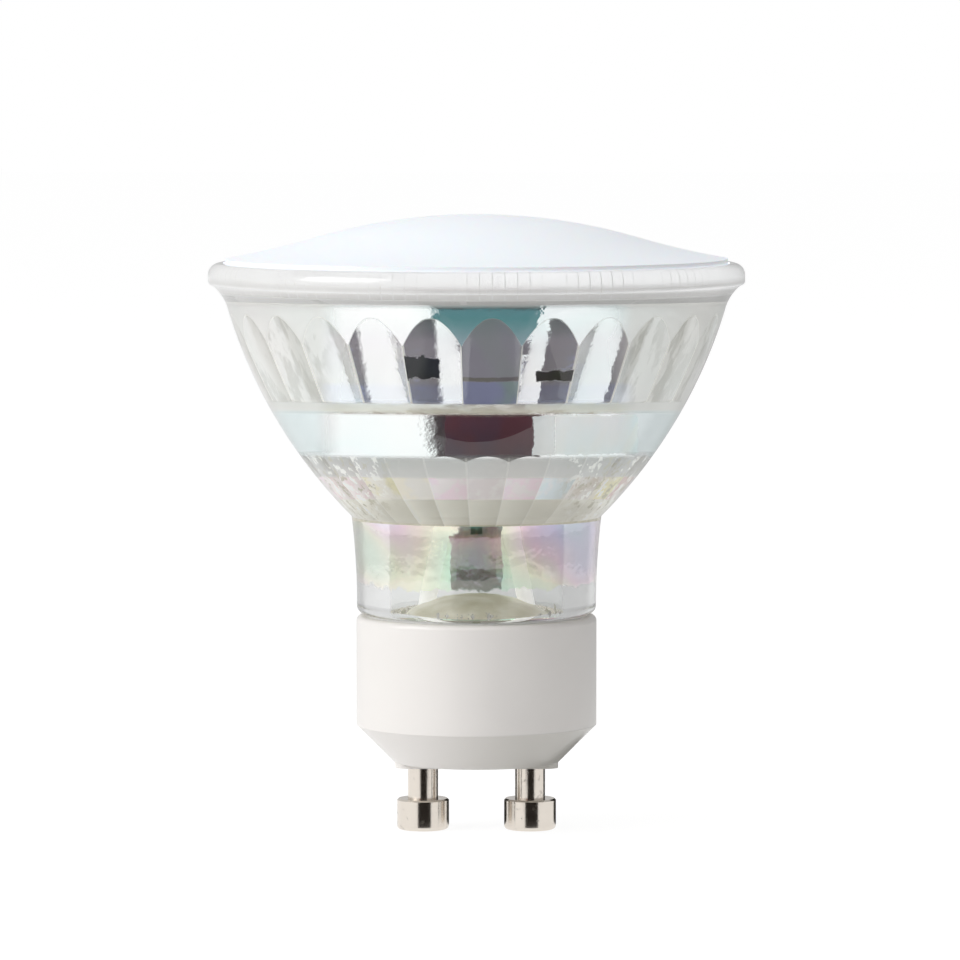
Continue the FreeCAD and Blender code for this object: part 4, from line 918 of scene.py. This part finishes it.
# Edges of the card on the floor, in mm: distance in front of the axis, left and right
CARD_EDGES = [(33.0, -24.0, 39.0), (38.0, -28.0, 36.0), (44.0, -30.0, 41.0), (60.0, -31.0, 42.0),
              (80.0, -38.0, 46.0), (103.0, -45.0, 59.0), (120.0, -50.0, 68.0),
              (FRONT_DISTANCE, -200.0, 200.0)]
# Its height in mm, and the share of its width over which its left edge fades in
CARD_HEIGHT, CARD_FADE = 0.4, 0.12
# Distance in front of the axis, in mm, and the cards' colour there
CARD_TONES = [(4.0, (0.012, 0.010, 0.008)), (34.0, (0.03, 0.02, 0.02)), (44.0, (0.03, 0.02, 0.022)),
              (48.0, (0.04, 0.03, 0.033)), (53.5, (0.06, 0.06, 0.07)), (55.0, (0.12, 0.13, 0.23)),
              (66.0, (0.13, 0.14, 0.25)), (84.0, (0.07, 0.19, 0.20)), (120.0, (0.09, 0.22, 0.24)),
              (160.0, (0.03, 0.03, 0.03))]
# Height in mm, and the upright front card's colour there
FRONT_TONES = [(0.0, (0.10, 0.04, 0.04)), (12.0, (0.14, 0.06, 0.07)), (20.0, (0.42, 0.24, 0.36)),
               (40.0, (0.44, 0.28, 0.40)), (65.0, (0.42, 0.34, 0.24)), (100.0, (0.42, 0.33, 0.18)),
               (150.0, (0.14, 0.08, 0.04))]
# Upright cards, the last four before and behind the pins: left and right edge, distance in front of the
# axis, foot and top, in mm
UPRIGHT_CARDS = {
    "front_card": (-200.0, 200.0, FRONT_DISTANCE, 0.0, 160.0),
    "pin_card_0": (-6.2, -2.9, 4.2, 0.02, 7.0),
    "pin_card_1": (3.8, 7.1, 4.2, 0.02, 7.0),
    "pin_card_2": (-2.4, 1.9, -3.0, 0.02, 7.0),
    "pin_card_3": (7.6, 11.9, -3.0, 0.02, 7.0),
}


def dark_card():
    """Dark surroundings that the film mirrors: soft on the left, with colour by distance."""
    material, tree = new_material("dark card")
    distance = -tree.along("Y")
    front = distance.smooth(FRONT_DISTANCE - 5.0, FRONT_DISTANCE - 1.0)
    tone = tree.mix(front, tree.bands(distance, CARD_TONES), tree.bands(tree.along("Z"), FRONT_TONES))
    dark = tree.add("ShaderNodeEmission", inputs={"Color": tone, "Strength": 1.0})
    clear = tree.add("ShaderNodeBsdfTransparent")
    cover = tree.add("ShaderNodeAttribute", {"attribute_name": "cover"}, out="Fac")
    tree.finish(tree.blend(cover.smooth(0.0, 1.0), clear, dark))
    return material


def low_card():
    """Corners and faces of the card on the floor: each of its edges gives three corners, and each pair of
    neighbouring edges gives two faces."""
    distance, left, right = np.array(CARD_EDGES).T[:, :, None]
    across = left + (right - left) * np.array((0.0, CARD_FADE, 1.0))
    corners = np.stack(np.broadcast_arrays(across, -distance, CARD_HEIGHT), axis=2)
    faces = [(3 * i + j, 3 * i + 3 + j, 3 * i + 4 + j, 3 * i + 1 + j)
             for i in range(len(CARD_EDGES) - 1) for j in range(2)]
    return corners.reshape(-1, 3) * MM, faces


def upright_card(left, right, distance, foot, top):
    """Corners and the face of an upright card."""
    corners = np.array([(left, -distance, foot), (right, -distance, foot), (right, -distance, top),
                        (left, -distance, top)])
    return corners * MM, [(0, 1, 2, 3)]


# Size in metres of the floor from its middle, and the point that the lamps are aimed at
FLOOR_REACH = 3
LAMP_AIM = (0, 0, 0.03)
# Share of the picture's width by which the bulb stands left of its middle
PICTURE_SHIFT = 3.5 / 960


class BULB_OT_studio(bpy.types.Operator):
    """Pale floor, the dark cards that the film mirrors, soft lamps and the camera."""
    bl_idname = "bulb.studio"
    bl_label = "Studio"

    def execute(self, context):
        studio = context.scene.bulb_studio
        side = FLOOR_REACH
        stage_sheet("floor", [(-side, -side, 0), (side, -side, 0), (side, side, 0), (-side, side, 0)],
                    [(0, 1, 2, 3)], floor_finish())
        finish = dark_card()
        cards = {name: upright_card(*measures) for name, measures in UPRIGHT_CARDS.items()}
        for name, (corners, faces) in {"low_card": low_card(), **cards}.items():
            sheet = stage_sheet(name, corners.tolist(), faces, finish)
            cover = np.ones(len(corners))
            if name == "low_card":
                cover[::3] = 0.0
            sheet.data.attributes.new("cover", "FLOAT", "POINT").data.foreach_set("value", cover)
            sheet.visible_camera = False
            sheet.visible_shadow = False
            sheet.visible_diffuse = False
        world = bpy.data.worlds.new("studio")
        context.scene.world = world
        tree = Tree(world)
        camera_ray, mirrored = ray_kinds(tree)
        place = tree.add("ShaderNodeTexCoord", out="Generated")
        way = tree.add("ShaderNodeSeparateXYZ", inputs={0: place}, out="X")
        behind = tree.add("ShaderNodeSeparateXYZ", inputs={0: place}, out="Y").smooth(0.3, 0.8)
        darker = way.smooth(0.15, 0.70) * SKY_RIGHT + (-way).smooth(0.15, 0.70) * SKY_LEFT
        darker = darker * (1.0 - behind) + behind * (way.smooth(-0.2, 0.2) * REAR_RIGHT + REAR)
        seen = camera_ray.larger(mirrored * (1.0 - darker))
        level = studio.world_level * (1.0 - camera_ray.larger(mirrored)) + seen
        light = tree.add("ShaderNodeBackground", inputs={"Color": (1, 1, 1, 1), "Strength": level})
        tree.add("ShaderNodeOutputWorld", inputs={"Surface": light})
        softbox("key_left", (-0.62, -0.32, 0.42), LAMP_AIM, 0.5, 0.5, studio.key_level)
        softbox("top", (0.0, 0.05, 0.75), LAMP_AIM, 0.6, 0.6, studio.top_level)
        camera = bpy.data.objects.new("camera", bpy.data.cameras.new("camera"))
        context.scene.collection.objects.link(camera)
        camera.data.lens = studio.lens
        camera.data.sensor_width = 36.0
        camera.data.shift_x = PICTURE_SHIFT
        camera.data.clip_start = 0.05
        camera.location = (0.0, -studio.camera_distance, studio.camera_height)
        drop = studio.camera_height - studio.aim_height
        camera.rotation_euler = (math.pi / 2 - math.atan2(drop, studio.camera_distance), 0, 0)
        context.scene.camera = camera
        context.scene.view_settings.view_transform = "Standard"
        return {"FINISHED"}


class BULB_PT_panel(bpy.types.Panel):
    """Lists the bulb's sizes and its operators."""
    bl_label = "Spotlight Bulb"
    bl_idname = "BULB_PT_panel"
    bl_space_type = "VIEW_3D"
    bl_region_type = "UI"
    bl_category = "Bulb"

    def draw(self, context):
        for group in (context.scene.bulb_glass, context.scene.bulb_colours, context.scene.bulb_studio):
            box = self.layout.box()
            for name in group.__annotations__:
                box.prop(group, name)
        for operator in (BULB_OT_reflector, BULB_OT_finishes, BULB_OT_studio):
            self.layout.operator(operator.bl_idname)


CLASSES = (GlassSizes, FinishColours, StudioSizes, BULB_OT_reflector, BULB_OT_finishes, BULB_OT_studio,
           BULB_PT_panel)


def register():
    for item in CLASSES:
        bpy.utils.register_class(item)
    bpy.types.Scene.bulb_glass = PointerProperty(type=GlassSizes)
    bpy.types.Scene.bulb_colours = PointerProperty(type=FinishColours)
    bpy.types.Scene.bulb_studio = PointerProperty(type=StudioSizes)


def unregister():
    for name in ("bulb_glass", "bulb_colours", "bulb_studio"):
        delattr(bpy.types.Scene, name)
    for item in reversed(CLASSES):
        bpy.utils.unregister_class(item)


def main():
    register()
    bpy.ops.bulb.reflector()
    bpy.ops.bulb.finishes()
    bpy.ops.bulb.studio()


if __name__ == "__main__":
    main()
